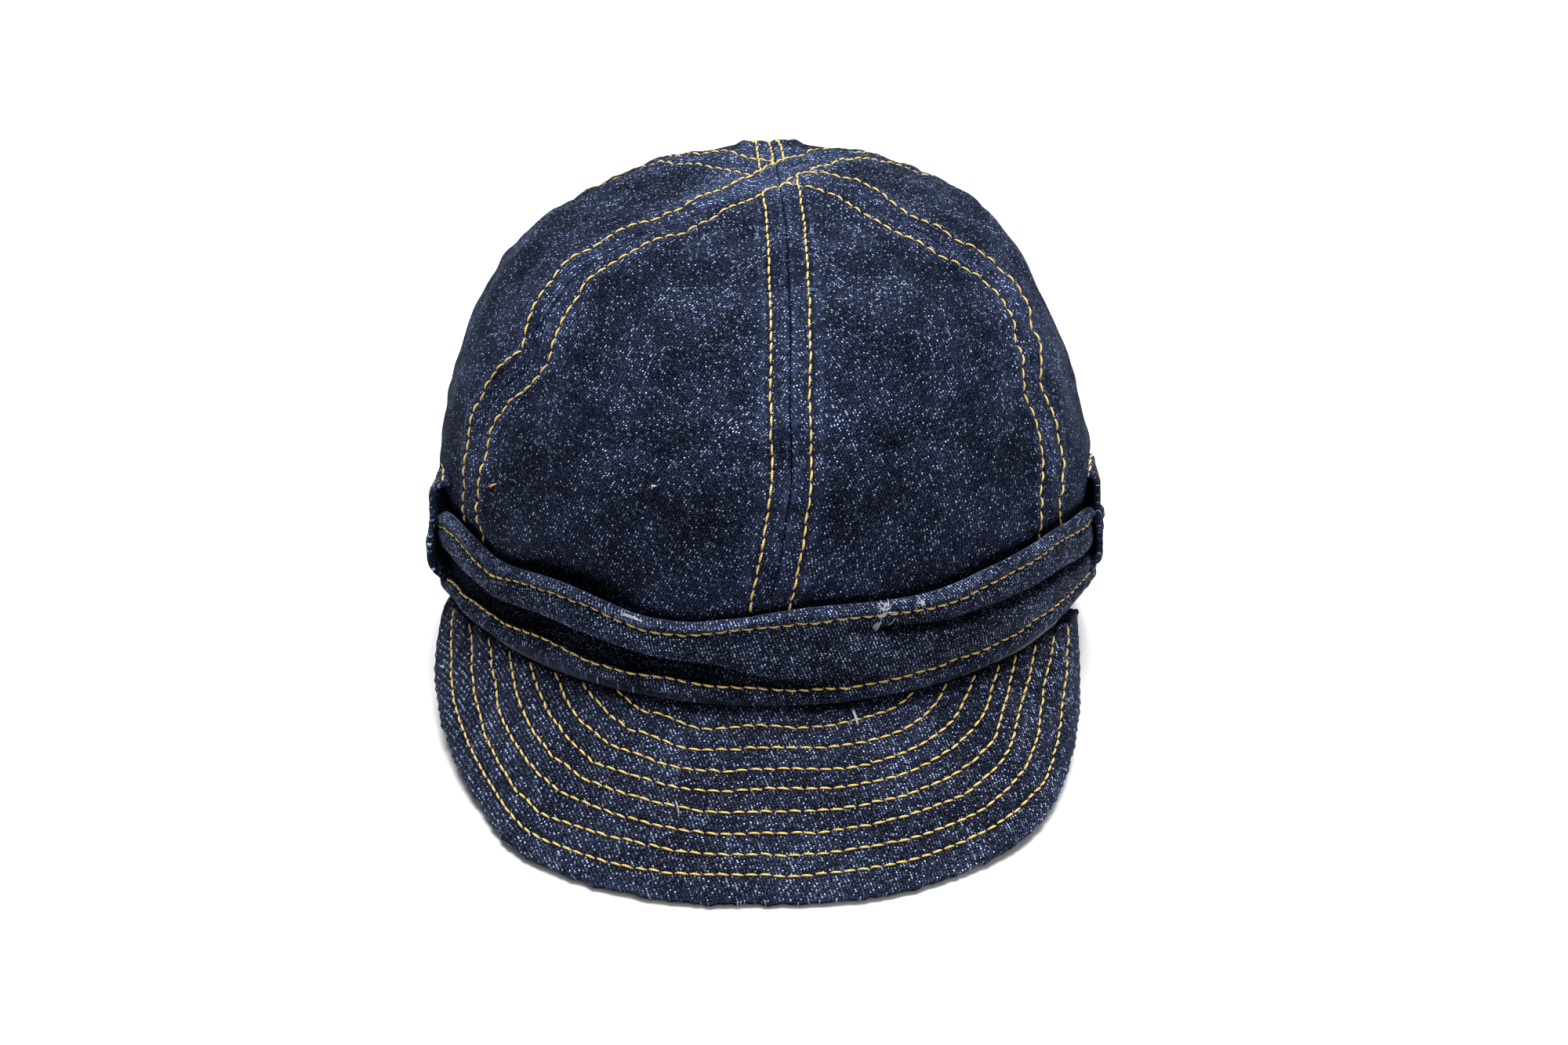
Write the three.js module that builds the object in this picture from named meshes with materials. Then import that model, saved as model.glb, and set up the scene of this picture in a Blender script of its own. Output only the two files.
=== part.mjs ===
// Six-panel denim work cap with a folded band, a stiff curved peak and a strap loop on each side.
// Millimetres, +Z up, the peak points to -Y. The cap rests by itself: the back of its rim and the
// front edge of its peak lie on the plane z = 0, so the rim rises towards the front.
import * as THREE from 'three';

// Driving dimensions, all in millimetres unless a name says degrees
const capWidth = 177.6;
const capLength = 193;
const capHeight = 130.6;
const frontLift = 30.5;
const clearance = 0.3;

// Crown cloth: its wall, how far it tucks behind the band, how its top leans to the right and back,
// and the small hole where the panels meet
const crownWall = 1.4;
const crownTuck = 8;
const crownLeanX = 2.9;
const crownLeanY = 12;
const crownTopHole = 1.5;

// Crown seams: a ditch along the seam line, and cloth lifted by the allowance on each side of it
const seamDitch = 1.3;
const seamDitchWidth = 2.6;
const seamPad = 0.7;
const seamPadPlace = 5.3;
const seamPadWidth = 3.2;

// Band: its height and wall, and how far its upper edge leans out for each millimetre that it
// stands taller than usual
const bandHeight = 24;
const bandWall = 2.3;
const bandFlare = 0.25;

// Peak: two layers of cloth. Its edge is a full oval whose centre lies peakSetback behind the
// band's front, and its ends tuck under the band
const peakLayer = 1.5;
const peakReach = 42.8;
const peakHalfWidth = 83.4;
const peakSetback = 56;
const peakShift = -2.2;
const peakSquareness = 2.1;
const peakArch = 1.6;
const peakLeftEndDegrees = -77;
const peakRightEndDegrees = 71;
const peakEdgeLeftDegrees = -101;
const peakEdgeRightDegrees = 95;

// Strap loops
const loopWidth = 13;
const loopWall = 1.5;
const loopHeight = 30.7;
const loopStand = 4.6;

// How finely each piece is faceted
const panelColumns = 12;
const panelRows = 16;
const bandColumns = 80;
const peakColumns = 40;
const peakRows = 8;
const loopRows = 14;
const loopColumns = 4;

// Rim by azimuth from the front in degrees: how high its lower edge rises as a share of frontLift,
// and how tall the band is there as a share of bandHeight
const rimRows = [
  { at: 0, rise: 1.0, tall: 1.0 },
  { at: 30, rise: 0.99, tall: 1.0 },
  { at: 50, rise: 0.985, tall: 0.99 },
  { at: 63, rise: 0.95, tall: 0.95 },
  { at: 76, rise: 0.83, tall: 0.89 },
  { at: 90, rise: 0.58, tall: 0.85 },
  { at: 106, rise: 0.31, tall: 0.85 },
  { at: 121, rise: 0.1, tall: 0.88 },
  { at: 136, rise: 0, tall: 0.9 },
  { at: 180, rise: 0, tall: 0.9 },
];

// Crown meridian: height as a share of the rise from crown base to top, and the reach on each
// side as a share of the oval that the band's inner face leaves for the crown
const meridianRows = [
  { at: 0.0, height: 0.0, left: 1.0, right: 1.0, front: 1.0, back: 1.0 },
  { at: 0.1, height: 0.1, left: 1.0, right: 1.0, front: 1.0, back: 1.0 },
  { at: 0.2, height: 0.22, left: 1.022, right: 1.01, front: 1.008, back: 1.007 },
  { at: 0.3, height: 0.38, left: 1.008, right: 0.974, front: 0.994, back: 0.996 },
  { at: 0.4, height: 0.54, left: 0.96, right: 0.909, front: 0.948, back: 0.948 },
  { at: 0.5, height: 0.68, left: 0.895, right: 0.813, front: 0.868, back: 0.868 },
  { at: 0.6, height: 0.8, left: 0.798, right: 0.721, front: 0.753, back: 0.753 },
  { at: 0.7, height: 0.895, left: 0.652, right: 0.577, front: 0.587, back: 0.602 },
  { at: 0.8, height: 0.96, left: 0.436, right: 0.386, front: 0.396, back: 0.401 },
  { at: 0.9, height: 0.99, left: 0.2, right: 0.18, front: 0.19, back: 0.19 },
  { at: 1.0, height: 1.0, left: 0.0, right: 0.0, front: 0.0, back: 0.0 },
];
const bandEdge = meridianRows[1];

// Azimuth of each seam in degrees, by share of the way from the crown's base to its top
const seamRows = [
  { at: 0.0, front: 0.5, right: 58, backRight: 120, back: 180, backLeft: 240, left: 298.5 },
  { at: 0.1, front: 0.5, right: 57.5, backRight: 120, back: 180, backLeft: 240, left: 299 },
  { at: 0.2, front: 1.3, right: 55, backRight: 120, back: 180, backLeft: 240, left: 300.7 },
  { at: 0.3, front: 2.6, right: 58.6, backRight: 121, back: 180, backLeft: 240, left: 300.5 },
  { at: 0.4, front: 3.4, right: 59.6, backRight: 123, back: 180, backLeft: 239, left: 302.1 },
  { at: 0.5, front: 3.1, right: 64, backRight: 126, back: 180, backLeft: 237, left: 309.2 },
  { at: 0.6, front: 3.3, right: 65.9, backRight: 130, back: 181, backLeft: 234, left: 307.7 },
  { at: 0.7, front: 3.4, right: 58.4, backRight: 135, back: 182, backLeft: 231, left: 309.8 },
  { at: 0.8, front: 3.9, right: 56.5, backRight: 138, back: 183, backLeft: 229, left: 316.5 },
  { at: 0.9, front: 4.7, right: 64.6, backRight: 141, back: 183, backLeft: 229, left: 321.5 },
  { at: 1.0, front: 5, right: 67.5, backRight: 142, back: 183, backLeft: 229, left: 322 },
];

// Crown panels, each between two seams
const panelList = [
  { name: 'crown_panel_front_right', from: 'front', to: 'right' },
  { name: 'crown_panel_side_right', from: 'right', to: 'backRight' },
  { name: 'crown_panel_back_right', from: 'backRight', to: 'back' },
  { name: 'crown_panel_back_left', from: 'back', to: 'backLeft' },
  { name: 'crown_panel_side_left', from: 'backLeft', to: 'left' },
  { name: 'crown_panel_front_left', from: 'left', to: 'front' },
];

// Dents of the crown: place and spread by azimuth in degrees and by share of the way up, and
// depth as a share of capHeight; a puff has a negative depth
const dentRows = [
  { azimuth: -56, share: 0.6, azimuthSpread: 10, shareSpread: 0.07, depth: -0.012 },
  { azimuth: -50, share: 0.44, azimuthSpread: 9, shareSpread: 0.06, depth: 0.013 },
  { azimuth: -28, share: 0.34, azimuthSpread: 16, shareSpread: 0.13, depth: -0.013 },
  { azimuth: -32, share: 0.1, azimuthSpread: 18, shareSpread: 0.05, depth: 0.01 },
  { azimuth: 22, share: 0.36, azimuthSpread: 12, shareSpread: 0.07, depth: 0.012 },
  { azimuth: 32, share: 0.6, azimuthSpread: 14, shareSpread: 0.08, depth: -0.01 },
  { azimuth: 68, share: 0.57, azimuthSpread: 9, shareSpread: 0.06, depth: -0.013 },
  { azimuth: 60, share: 0.4, azimuthSpread: 9, shareSpread: 0.06, depth: 0.011 },
  { azimuth: 150, share: 0.4, azimuthSpread: 20, shareSpread: 0.1, depth: 0.012 },
  { azimuth: -150, share: 0.36, azimuthSpread: 18, shareSpread: 0.12, depth: 0.01 },
  { azimuth: -128, share: 0.7, azimuthSpread: 22, shareSpread: 0.1, depth: 0.019 },
  { azimuth: 180, share: 0.75, azimuthSpread: 24, shareSpread: 0.1, depth: 0.012 },
  { azimuth: 104, share: 0.63, azimuthSpread: 14, shareSpread: 0.07, depth: -0.017 },
  { azimuth: 87, share: 0.3, azimuthSpread: 22, shareSpread: 0.1, depth: 0.008 },
];

// Upper edge of the band by azimuth in degrees: its height as a share of the usual one there
const bandTopRows = [
  { at: -180, top: 1.0 },
  { at: -105, top: 1.0 },
  { at: -67, top: 1.17 },
  { at: -52, top: 0.97 },
  { at: -36, top: 1.08 },
  { at: -18, top: 0.92 },
  { at: -6, top: 1.0 },
  { at: 11, top: 1.16 },
  { at: 26, top: 1.12 },
  { at: 40, top: 1.2 },
  { at: 64, top: 1.24 },
  { at: 105, top: 1.0 },
  { at: 180, top: 1.0 },
];

// Folds of the band: height and spread as shares of the band's height there, and how far the
// cloth stands out as a share of bandHeight; a groove has a negative value
const bandFoldRows = [
  { azimuth: -46, height: 0.63, azimuthSpread: 36, heightSpread: 0.15, out: 0.06 },
  { azimuth: -46, height: 0.33, azimuthSpread: 38, heightSpread: 0.12, out: -0.045 },
  { azimuth: 5, height: 0.5, azimuthSpread: 22, heightSpread: 0.25, out: 0.05 },
  { azimuth: 30, height: 0.68, azimuthSpread: 16, heightSpread: 0.08, out: -0.05 },
  { azimuth: 55, height: 0.5, azimuthSpread: 18, heightSpread: 0.08, out: -0.05 },
  { azimuth: 55, height: 0.78, azimuthSpread: 24, heightSpread: 0.1, out: 0.045 },
  { azimuth: 42, height: 0.33, azimuthSpread: 26, heightSpread: 0.13, out: 0.045 },
];

// Section of the band from its lower edge to its upper one: height share, and how much of the
// wall its rounding takes from the outer face
const bandSectionRows = [
  { height: 0.0, round: 0.25 },
  { height: 0.05, round: 0.05 },
  { height: 0.16, round: 0.04 },
  { height: 0.3, round: 0 },
  { height: 0.45, round: 0 },
  { height: 0.62, round: 0 },
  { height: 0.78, round: 0 },
  { height: 0.93, round: 0.05 },
  { height: 1.0, round: 0.42 },
];

// Edge of the peak by share of the way from its front to its end: how high the underside lies
// over the floor as a share of frontLift, and how far the edge reaches on each side as a share
// of the oval
const peakEdgeRows = [
  { at: 0, lift: 0, left: 0.996, right: 0.996 },
  { at: 0.1, lift: 0.006, left: 1.008, right: 1.007 },
  { at: 0.2, lift: 0.012, left: 1.016, right: 1.02 },
  { at: 0.32, lift: 0.014, left: 1.019, right: 1.029 },
  { at: 0.4, lift: 0.016, left: 1.024, right: 1.034 },
  { at: 0.48, lift: 0.03, left: 1.001, right: 1.038 },
  { at: 0.58, lift: 0.06, left: 0.975, right: 1.031 },
  { at: 0.67, lift: 0.1, left: 0.969, right: 1.01 },
  { at: 0.76, lift: 0.16, left: 0.977, right: 0.996 },
  { at: 0.85, lift: 0.26, left: 0.993, right: 0.991 },
  { at: 0.92, lift: 0.42, left: 1.002, right: 0.987 },
  { at: 1, lift: 0.74, left: 1.004, right: 0.985 },
];

// Path of a strap loop from its lower seat to its upper one: height as a share of loopHeight and
// stand-off as a share of loopStand
const loopPathRows = [
  { at: 0, height: 0, stand: 0.13 },
  { at: 0.12, height: 0.07, stand: 0.24 },
  { at: 0.28, height: 0.2, stand: 0.92 },
  { at: 0.44, height: 0.42, stand: 1 },
  { at: 0.6, height: 0.64, stand: 0.92 },
  { at: 0.76, height: 0.86, stand: 0.8 },
  { at: 0.88, height: 0.965, stand: 0.48 },
  { at: 1, height: 1, stand: 0 },
];

// Each strap loop: its azimuth in degrees, how high its lower end sits over the rim as a share of
// bandHeight, and how far it stands off as a share of loopStand
const loopList = [
  { name: 'side_loop_right', azimuth: 76, foot: 0.38, stand: 0.66 },
  { name: 'side_loop_left', azimuth: -75, foot: 0.275, stand: 1 },
];

const denim = { color: 0x232a45, roughness: 0.92, metalness: 0 };
const denimUnder = { color: 0x2b3350, roughness: 0.95, metalness: 0 };

const halfWidth = capWidth / 2;
const halfLength = capLength / 2;
const peakThickness = 2 * peakLayer + clearance;
const radians = THREE.MathUtils.degToRad;

// Smooth curve through one column of a table, which never overshoots its rows
function curveThrough(rows, key) {
  const last = rows.length - 1;
  const slopes = [];
  for (let i = 0; i < last; i += 1) {
    slopes.push((rows[i + 1][key] - rows[i][key]) / (rows[i + 1].at - rows[i].at));
  }
  const tangents = rows.map((row, i) => {
    if (i === 0) return slopes[0];
    if (i === last) return slopes[last - 1];
    const product = slopes[i - 1] * slopes[i];
    return product <= 0 ? 0 : (2 * product) / (slopes[i - 1] + slopes[i]);
  });
  return (at) => {
    const place = THREE.MathUtils.clamp(at, rows[0].at, rows[last].at);
    let i = 0;
    while (i < last - 1 && place > rows[i + 1].at) i += 1;
    const span = rows[i + 1].at - rows[i].at;
    const f = (place - rows[i].at) / span;
    const start = rows[i][key] + f * span * tangents[i];
    const end = rows[i + 1][key] - (1 - f) * span * tangents[i + 1];
    return THREE.MathUtils.lerp(start, end, f * f * (3 - 2 * f));
  };
}

// Every column of a table as a curve
function curvesThrough(rows) {
  const keys = Object.keys(rows[0]).filter((key) => key !== 'at');
  return Object.fromEntries(keys.map((key) => [key, curveThrough(rows, key)]));
}

const rim = curvesThrough(rimRows);
const meridian = curvesThrough(meridianRows);
const seams = curvesThrough(seamRows);
const bandTop = curvesThrough(bandTopRows);
const peakEdge = curvesThrough(peakEdgeRows);
const loopPath = curvesThrough(loopPathRows);

// Degrees brought into -180 to 180
function wrapDegrees(degrees) {
  return THREE.MathUtils.euclideanModulo(degrees + 180, 360) - 180;
}

// Height of a hump that fades to both sides
function bell(distance, spread) {
  return Math.exp(-((distance / spread) ** 2));
}

// Height of the rim's lower edge over the floor
function rimHeight(azimuth) {
  return frontLift * rim.rise(Math.abs(wrapDegrees(azimuth)));
}

// Height of the band itself
function bandTall(azimuth) {
  return bandHeight * rim.tall(Math.abs(wrapDegrees(azimuth)));
}

// Smooth outer face of the crown, without dents: an oval that shrinks and leans as it rises
function crownDome(azimuth, share) {
  const sine = Math.sin(radians(azimuth));
  const cosine = Math.cos(radians(azimuth));
  const sideReach = sine > 0 ? meridian.right(share) : meridian.left(share);
  const lengthReach = cosine > 0 ? meridian.front(share) : meridian.back(share);
  const height = meridian.height(share);
  const base = rimHeight(azimuth) + bandTall(azimuth) - crownTuck;
  const lean = Math.max((height - bandEdge.height) / (1 - bandEdge.height), 0);
  return new THREE.Vector3(
    (halfWidth - bandWall - clearance) * sideReach * sine + crownLeanX * lean,
    -(halfLength - bandWall - clearance) * lengthReach * cosine + crownLeanY * lean,
    base + (capHeight - base) * height,
  );
}

// How deep the crown's dents go at a place
function dentDepth(azimuth, share) {
  let depth = 0;
  for (const row of dentRows) {
    const across = bell(wrapDegrees(azimuth - row.azimuth), row.azimuthSpread);
    depth += row.depth * capHeight * across * bell(share - row.share, row.shareSpread);
  }
  return depth;
}

// How deep the cloth dips near a seam: a ditch on the seam line and a raised strip beside it
function seamDepth(distance) {
  const ditch = (seamDitch + seamPad) * bell(distance, seamDitchWidth);
  return ditch - seamPad * bell(distance - seamPadPlace, seamPadWidth);
}

// The crown's seams lie flat behind the band and come to their full relief above it
function seamStart(share) {
  return THREE.MathUtils.clamp(share / bandEdge.at - 1, 0, 1);
}

// Outward direction of a surface given as a function of two parameters
function outward(surface, u, v, stepU, stepV) {
  const alongU = surface(u + stepU, v).sub(surface(u - stepU, v));
  const alongV = surface(u, v + stepV).sub(surface(u, v - stepV));
  return alongU.cross(alongV).normalize();
}

// Closed body between an outer and an inner grid of points, given as columns of equal length
// that run round the piece; a ring's last column meets its first
function shellBetween(outer, inner, ring) {
  const columns = outer.length;
  const rows = outer[0].length;
  const positions = [...outer, ...inner].flatMap((column) => column.flatMap((p) => p.toArray()));
  const outerAt = (i, j) => (i % columns) * rows + j;
  const innerAt = (i, j) => columns * rows + outerAt(i, j);
  const triangles = [];
  const quad = (a, b, c, d) => triangles.push(a, b, c, a, c, d);
  const top = rows - 1;
  const spans = ring ? columns : columns - 1;
  for (let i = 0; i < spans; i += 1) {
    for (let j = 0; j < top; j += 1) {
      quad(outerAt(i, j), outerAt(i + 1, j), outerAt(i + 1, j + 1), outerAt(i, j + 1));
      quad(innerAt(i, j), innerAt(i, j + 1), innerAt(i + 1, j + 1), innerAt(i + 1, j));
    }
    quad(outerAt(i, 0), innerAt(i, 0), innerAt(i + 1, 0), outerAt(i + 1, 0));
    quad(outerAt(i, top), outerAt(i + 1, top), innerAt(i + 1, top), innerAt(i, top));
  }
  for (let j = 0; j < top && !ring; j += 1) {
    quad(outerAt(0, j), outerAt(0, j + 1), innerAt(0, j + 1), innerAt(0, j));
    quad(outerAt(spans, j), innerAt(spans, j), innerAt(spans, j + 1), outerAt(spans, j + 1));
  }
  const geometry = new THREE.BufferGeometry();
  geometry.setAttribute('position', new THREE.Float32BufferAttribute(positions, 3));
  geometry.setIndex(triangles);
  geometry.computeVertexNormals();
  return geometry;
}

function piece(name, geometry, look) {
  const mesh = new THREE.Mesh(geometry, new THREE.MeshStandardMaterial(look));
  mesh.name = name;
  return mesh;
}

// One cloth panel between two seams: each long edge dips into the seam and keeps half the gap.
// Its columns stand closer together near the seams
function crownPanel({ name, from, to }) {
  const outer = [];
  const inner = [];
  const topShare = 1 - crownTopHole / capHeight;
  for (let i = 0; i <= panelColumns; i += 1) {
    const across = 0.5 - 0.5 * Math.cos((Math.PI * i) / panelColumns);
    const outerColumn = [];
    const innerColumn = [];
    for (let j = 0; j <= panelRows; j += 1) {
      const share = (topShare * j) / panelRows;
      const start = seams[from](share);
      const sweep = THREE.MathUtils.euclideanModulo(seams[to](share) - start, 360);
      const halfReach = crownDome(start + sweep / 2, share).distanceTo(crownDome(start, share));
      const gap = (sweep * clearance) / (4 * halfReach);
      const azimuth = start + gap + (sweep - 2 * gap) * across;
      const fromSeam = 2 * halfReach * Math.min(across, 1 - across);
      const faded = Math.min(halfReach / seamPadPlace, 1) * seamStart(share);
      const depth = dentDepth(azimuth, share) + seamDepth(fromSeam) * faded;
      const normal = outward(crownDome, azimuth, share, 0.5, 0.004);
      const point = crownDome(azimuth, share).addScaledVector(normal, -depth);
      outerColumn.push(point);
      innerColumn.push(point.clone().addScaledVector(normal, -crownWall));
    }
    outer.push(outerColumn);
    inner.push(innerColumn);
  }
  return piece(name, shellBetween(outer, inner, false), denim);
}

// A point of the band: the rim's oval, at a share of the band's height, moved out from its face
function bandPoint(azimuth, height, out) {
  return new THREE.Vector3(
    (halfWidth + out) * Math.sin(radians(azimuth)),
    -(halfLength + out) * Math.cos(radians(azimuth)),
    rimHeight(azimuth) + bandTall(azimuth) * height,
  );
}

// How far the band's folds stand out at a place
function foldOut(azimuth, height) {
  let out = 0;
  for (const row of bandFoldRows) {
    const across = bell(wrapDegrees(azimuth - row.azimuth), row.azimuthSpread);
    out += row.out * bandHeight * across * bell(height - row.height, row.heightSpread);
  }
  return out;
}

// Band: a closed ring whose inner face is plain and whose outer face carries the folds. Where its
// upper edge stands taller, it leans out over the crown
function band() {
  const outer = [];
  const inner = [];
  for (let i = 0; i < bandColumns; i += 1) {
    const azimuth = (360 * i) / bandColumns;
    const top = bandTop.top(wrapDegrees(azimuth));
    const flare = Math.max(top - 1, 0) * bandHeight * bandFlare;
    outer.push(bandSectionRows.map(({ height, round }) => {
      const out = foldOut(azimuth, height) - round * bandWall + flare * height ** 2;
      return bandPoint(azimuth, height * top, out);
    }));
    inner.push(bandSectionRows.map(({ height, round }) => {
      return bandPoint(azimuth, height * top, (round / 2 - 1) * bandWall + flare * height ** 2);
    }));
  }
  return piece('band', shellBetween(outer, inner, true), denim);
}

// Sine or cosine of an oval whose corners are fuller than an ellipse's
function fuller(value) {
  return Math.sign(value) * Math.abs(value) ** (2 / peakSquareness);
}

// Underside of the peak: lines from beneath the band to the oval edge, slightly arched. u runs
// from the right end to the left one, v from the band to the edge
function peakUnderside(u, v) {
  const azimuth = THREE.MathUtils.lerp(peakRightEndDegrees, peakLeftEndDegrees, u);
  const edgeAzimuth = THREE.MathUtils.lerp(peakEdgeRightDegrees, peakEdgeLeftDegrees, u);
  const edgeEnd = edgeAzimuth < 0 ? peakEdgeLeftDegrees : peakEdgeRightDegrees;
  const sine = Math.sin(radians(edgeAzimuth));
  const cosine = Math.cos(radians(edgeAzimuth));
  const root = bandPoint(azimuth, 0, -bandWall - peakThickness / 2);
  root.z -= clearance + peakThickness;
  const way = edgeAzimuth / edgeEnd;
  const reach = edgeAzimuth < 0 ? peakEdge.left(way) : peakEdge.right(way);
  const edge = new THREE.Vector3(
    peakShift + peakHalfWidth * reach * fuller(sine),
    peakSetback - halfLength - (peakReach + peakSetback) * reach * fuller(cosine),
    frontLift * peakEdge.lift(way),
  );
  const point = root.lerp(edge, v);
  point.z += peakArch * Math.sin(Math.PI * v) * Math.max(cosine, 0);
  return point;
}

// One layer of the peak, between two distances over its underside
function peakShell(name, low, high, look) {
  const outer = [];
  const inner = [];
  for (let i = 0; i <= peakColumns; i += 1) {
    const u = i / peakColumns;
    const outerColumn = [];
    const innerColumn = [];
    for (let j = 0; j <= peakRows; j += 1) {
      const v = j / peakRows;
      const normal = outward(peakUnderside, u, v, 0.004, 0.02);
      outerColumn.push(peakUnderside(u, v).addScaledVector(normal, high));
      innerColumn.push(peakUnderside(u, v).addScaledVector(normal, low));
    }
    outer.push(outerColumn);
    inner.push(innerColumn);
  }
  return piece(name, shellBetween(outer, inner, false), look);
}

// Distance from the head's axis to the crown's outer face at a height over the floor
function crownReach(azimuth, height) {
  let low = 0;
  let high = 0.5;
  while (high - low > 0.0001) {
    const share = (low + high) / 2;
    if (crownDome(azimuth, share).z < height) low = share;
    else high = share;
  }
  const point = crownDome(azimuth, low);
  return Math.hypot(point.x, point.y);
}

// Strap loop: seated on the band near its lower edge and on the crown above it, and standing off
// both in between, so that a strap or cord can pass behind it
function sideLoop({ name, azimuth, foot, stand }) {
  const seat = bandPoint(azimuth, 0, 0);
  const lowEnd = seat.z + bandHeight * foot;
  const bandReach = Math.hypot(seat.x, seat.y);
  const topReach = crownReach(azimuth, lowEnd + loopHeight);
  const radial = new THREE.Vector3(seat.x / bandReach, seat.y / bandReach, 0);
  const along = new THREE.Vector3(-radial.y, radial.x, 0);
  const outer = [];
  const inner = [];
  for (let i = 0; i <= loopColumns; i += 1) {
    const offset = loopWidth * (i / loopColumns - 0.5);
    const sag = offset ** 2 / capLength;
    const outerColumn = [];
    const innerColumn = [];
    for (let j = 0; j <= loopRows; j += 1) {
      const rise = loopPath.height(j / loopRows);
      const off = clearance + loopStand * stand * loopPath.stand(j / loopRows);
      const reach = THREE.MathUtils.lerp(bandReach, topReach, rise) + off - sag;
      const point = radial.clone().multiplyScalar(reach).addScaledVector(along, offset);
      point.z = lowEnd + loopHeight * rise;
      innerColumn.push(point);
      outerColumn.push(point.clone().addScaledVector(radial, loopWall));
    }
    outer.push(outerColumn);
    inner.push(innerColumn);
  }
  return piece(name, shellBetween(outer, inner, false), denim);
}

const cap = new THREE.Group();
for (const panel of panelList) cap.add(crownPanel(panel));
cap.add(band());
cap.add(peakShell('peak_underside', 0, peakLayer, denimUnder));
cap.add(peakShell('peak_top', peakThickness - peakLayer, peakThickness, denim));
for (const loop of loopList) cap.add(sideLoop(loop));

// The origin is the middle of the cap's footprint, on the floor
const bounds = new THREE.Box3().setFromObject(cap);
const middle = bounds.getCenter(new THREE.Vector3());
cap.position.set(-middle.x, -middle.y, -bounds.min.z);

const group = new THREE.Group();
group.add(cap);
export default group;
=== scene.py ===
# Denim work cap: six crown panels, a folded band, a stiff peak of two layers and two strap loops.
# Tables and shapes are in millimetres around the crown's own axis, with the peak towards -Y.
# A mesh gets its points in metres, moved into the frame.
import bpy
import numpy as np
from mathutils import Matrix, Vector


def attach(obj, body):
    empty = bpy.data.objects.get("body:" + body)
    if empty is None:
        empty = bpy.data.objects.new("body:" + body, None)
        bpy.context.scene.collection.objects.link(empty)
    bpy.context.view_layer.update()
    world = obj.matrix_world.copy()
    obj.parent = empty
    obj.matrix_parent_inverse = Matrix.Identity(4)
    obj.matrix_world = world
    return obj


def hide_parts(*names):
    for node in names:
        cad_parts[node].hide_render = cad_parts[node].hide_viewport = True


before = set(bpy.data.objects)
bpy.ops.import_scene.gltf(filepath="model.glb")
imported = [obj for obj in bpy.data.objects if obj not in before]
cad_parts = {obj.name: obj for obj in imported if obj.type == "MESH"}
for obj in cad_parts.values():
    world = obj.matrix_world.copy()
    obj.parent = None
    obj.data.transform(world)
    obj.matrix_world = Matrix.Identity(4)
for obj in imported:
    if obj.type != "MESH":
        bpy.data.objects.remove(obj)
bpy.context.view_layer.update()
print("frame loaded")

cap = dict(
    width=177.6, length=193.0, height=130.6, frontLift=30.5, clearance=0.3,
    frameShift=(0.65004, 21.72007, 0.01028),   # crown's axis to the frame's origin
)
halfWidth, halfLength = cap["width"] / 2, cap["length"] / 2


# Smooth curve through a table's values, which never overshoots them: cubic spans whose slopes are
# the harmonic mean of the slopes on both sides
def curveThrough(places, values):
    x, y = np.asarray(places, float), np.asarray(values, float)
    slope = np.diff(y) / np.diff(x)
    product, total = slope[:-1] * slope[1:], slope[:-1] + slope[1:]
    tangent = np.concatenate([slope[:1], np.zeros(len(x) - 2), slope[-1:]])
    rising = product > 0
    tangent[1:-1][rising] = 2 * product[rising] / total[rising]

    def curve(at):
        at = np.clip(at, x[0], x[-1])
        i = np.clip(np.searchsorted(x, at) - 1, 0, len(x) - 2)
        span = x[i + 1] - x[i]
        f = (at - x[i]) / span
        start = y[i] + f * span * tangent[i]
        end = y[i + 1] - (1 - f) * span * tangent[i + 1]
        return start + (end - start) * f * f * (3 - 2 * f)
    return curve


# Every column of a table as a curve over its first column
def curvesThrough(names, rows):
    columns = np.array(rows, float).T
    return {name: curveThrough(columns[0], column) for name, column in zip(names.split(), columns[1:])}


def wrapDegrees(degrees):
    return (np.asarray(degrees) + 180) % 360 - 180


def bell(distance, spread):
    return np.exp(-(distance / spread) ** 2)


# Goes smoothly from 0 at start to 1 at end
def fadeIn(value, start, end):
    f = np.clip((value - start) / (end - start), 0, 1)
    return f * f * (3 - 2 * f)


# Uneven ripples of about one wavelength: a sum of sine waves in seeded directions
def ripples(points, wavelength, seed, count=14):
    rng = np.random.default_rng(seed)
    turns = rng.normal(size=(count, points.shape[-1]))
    turns /= np.linalg.norm(turns, axis=1, keepdims=True)
    turns *= rng.uniform(0.6, 1.6, (count, 1)) * 2 * np.pi / wavelength
    phases = rng.uniform(0, 2 * np.pi, count)
    return np.sin(points @ turns.T + phases).sum(-1) * (2 / count) ** 0.5


# Quarter circle: 0 at an edge and 1 from where the distance to it reaches the radius
def rounded(distance, radius):
    return np.sqrt(1 - np.clip(1 - distance / radius, 0, 1) ** 2)


# Sum of bells, each given as its amount, place and spread
def bells(at, *table):
    return sum(amount * bell(at - place, spread) for amount, place, spread in table)


def unit(vectors):
    return vectors / np.maximum(np.linalg.norm(vectors, axis=-1, keepdims=True), 1e-9)


# Outward direction of a surface of two parameters, from the cross product of its two slopes
def outward(surface, u, v, stepU, stepV):
    alongU = surface(u + stepU, v) - surface(u - stepU, v)
    alongV = surface(u, v + stepV) - surface(u, v - stepV)
    return unit(np.cross(alongU, alongV))


# Steps of both parameters for the outward direction of each surface
slopeSteps = dict(
    dome=(0.5, 0.004), crown=(0.25, 0.003), band=(0.2, 0.01), peak=(0.004, 0.02), loop=(0.004, 0.2),
)


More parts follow.
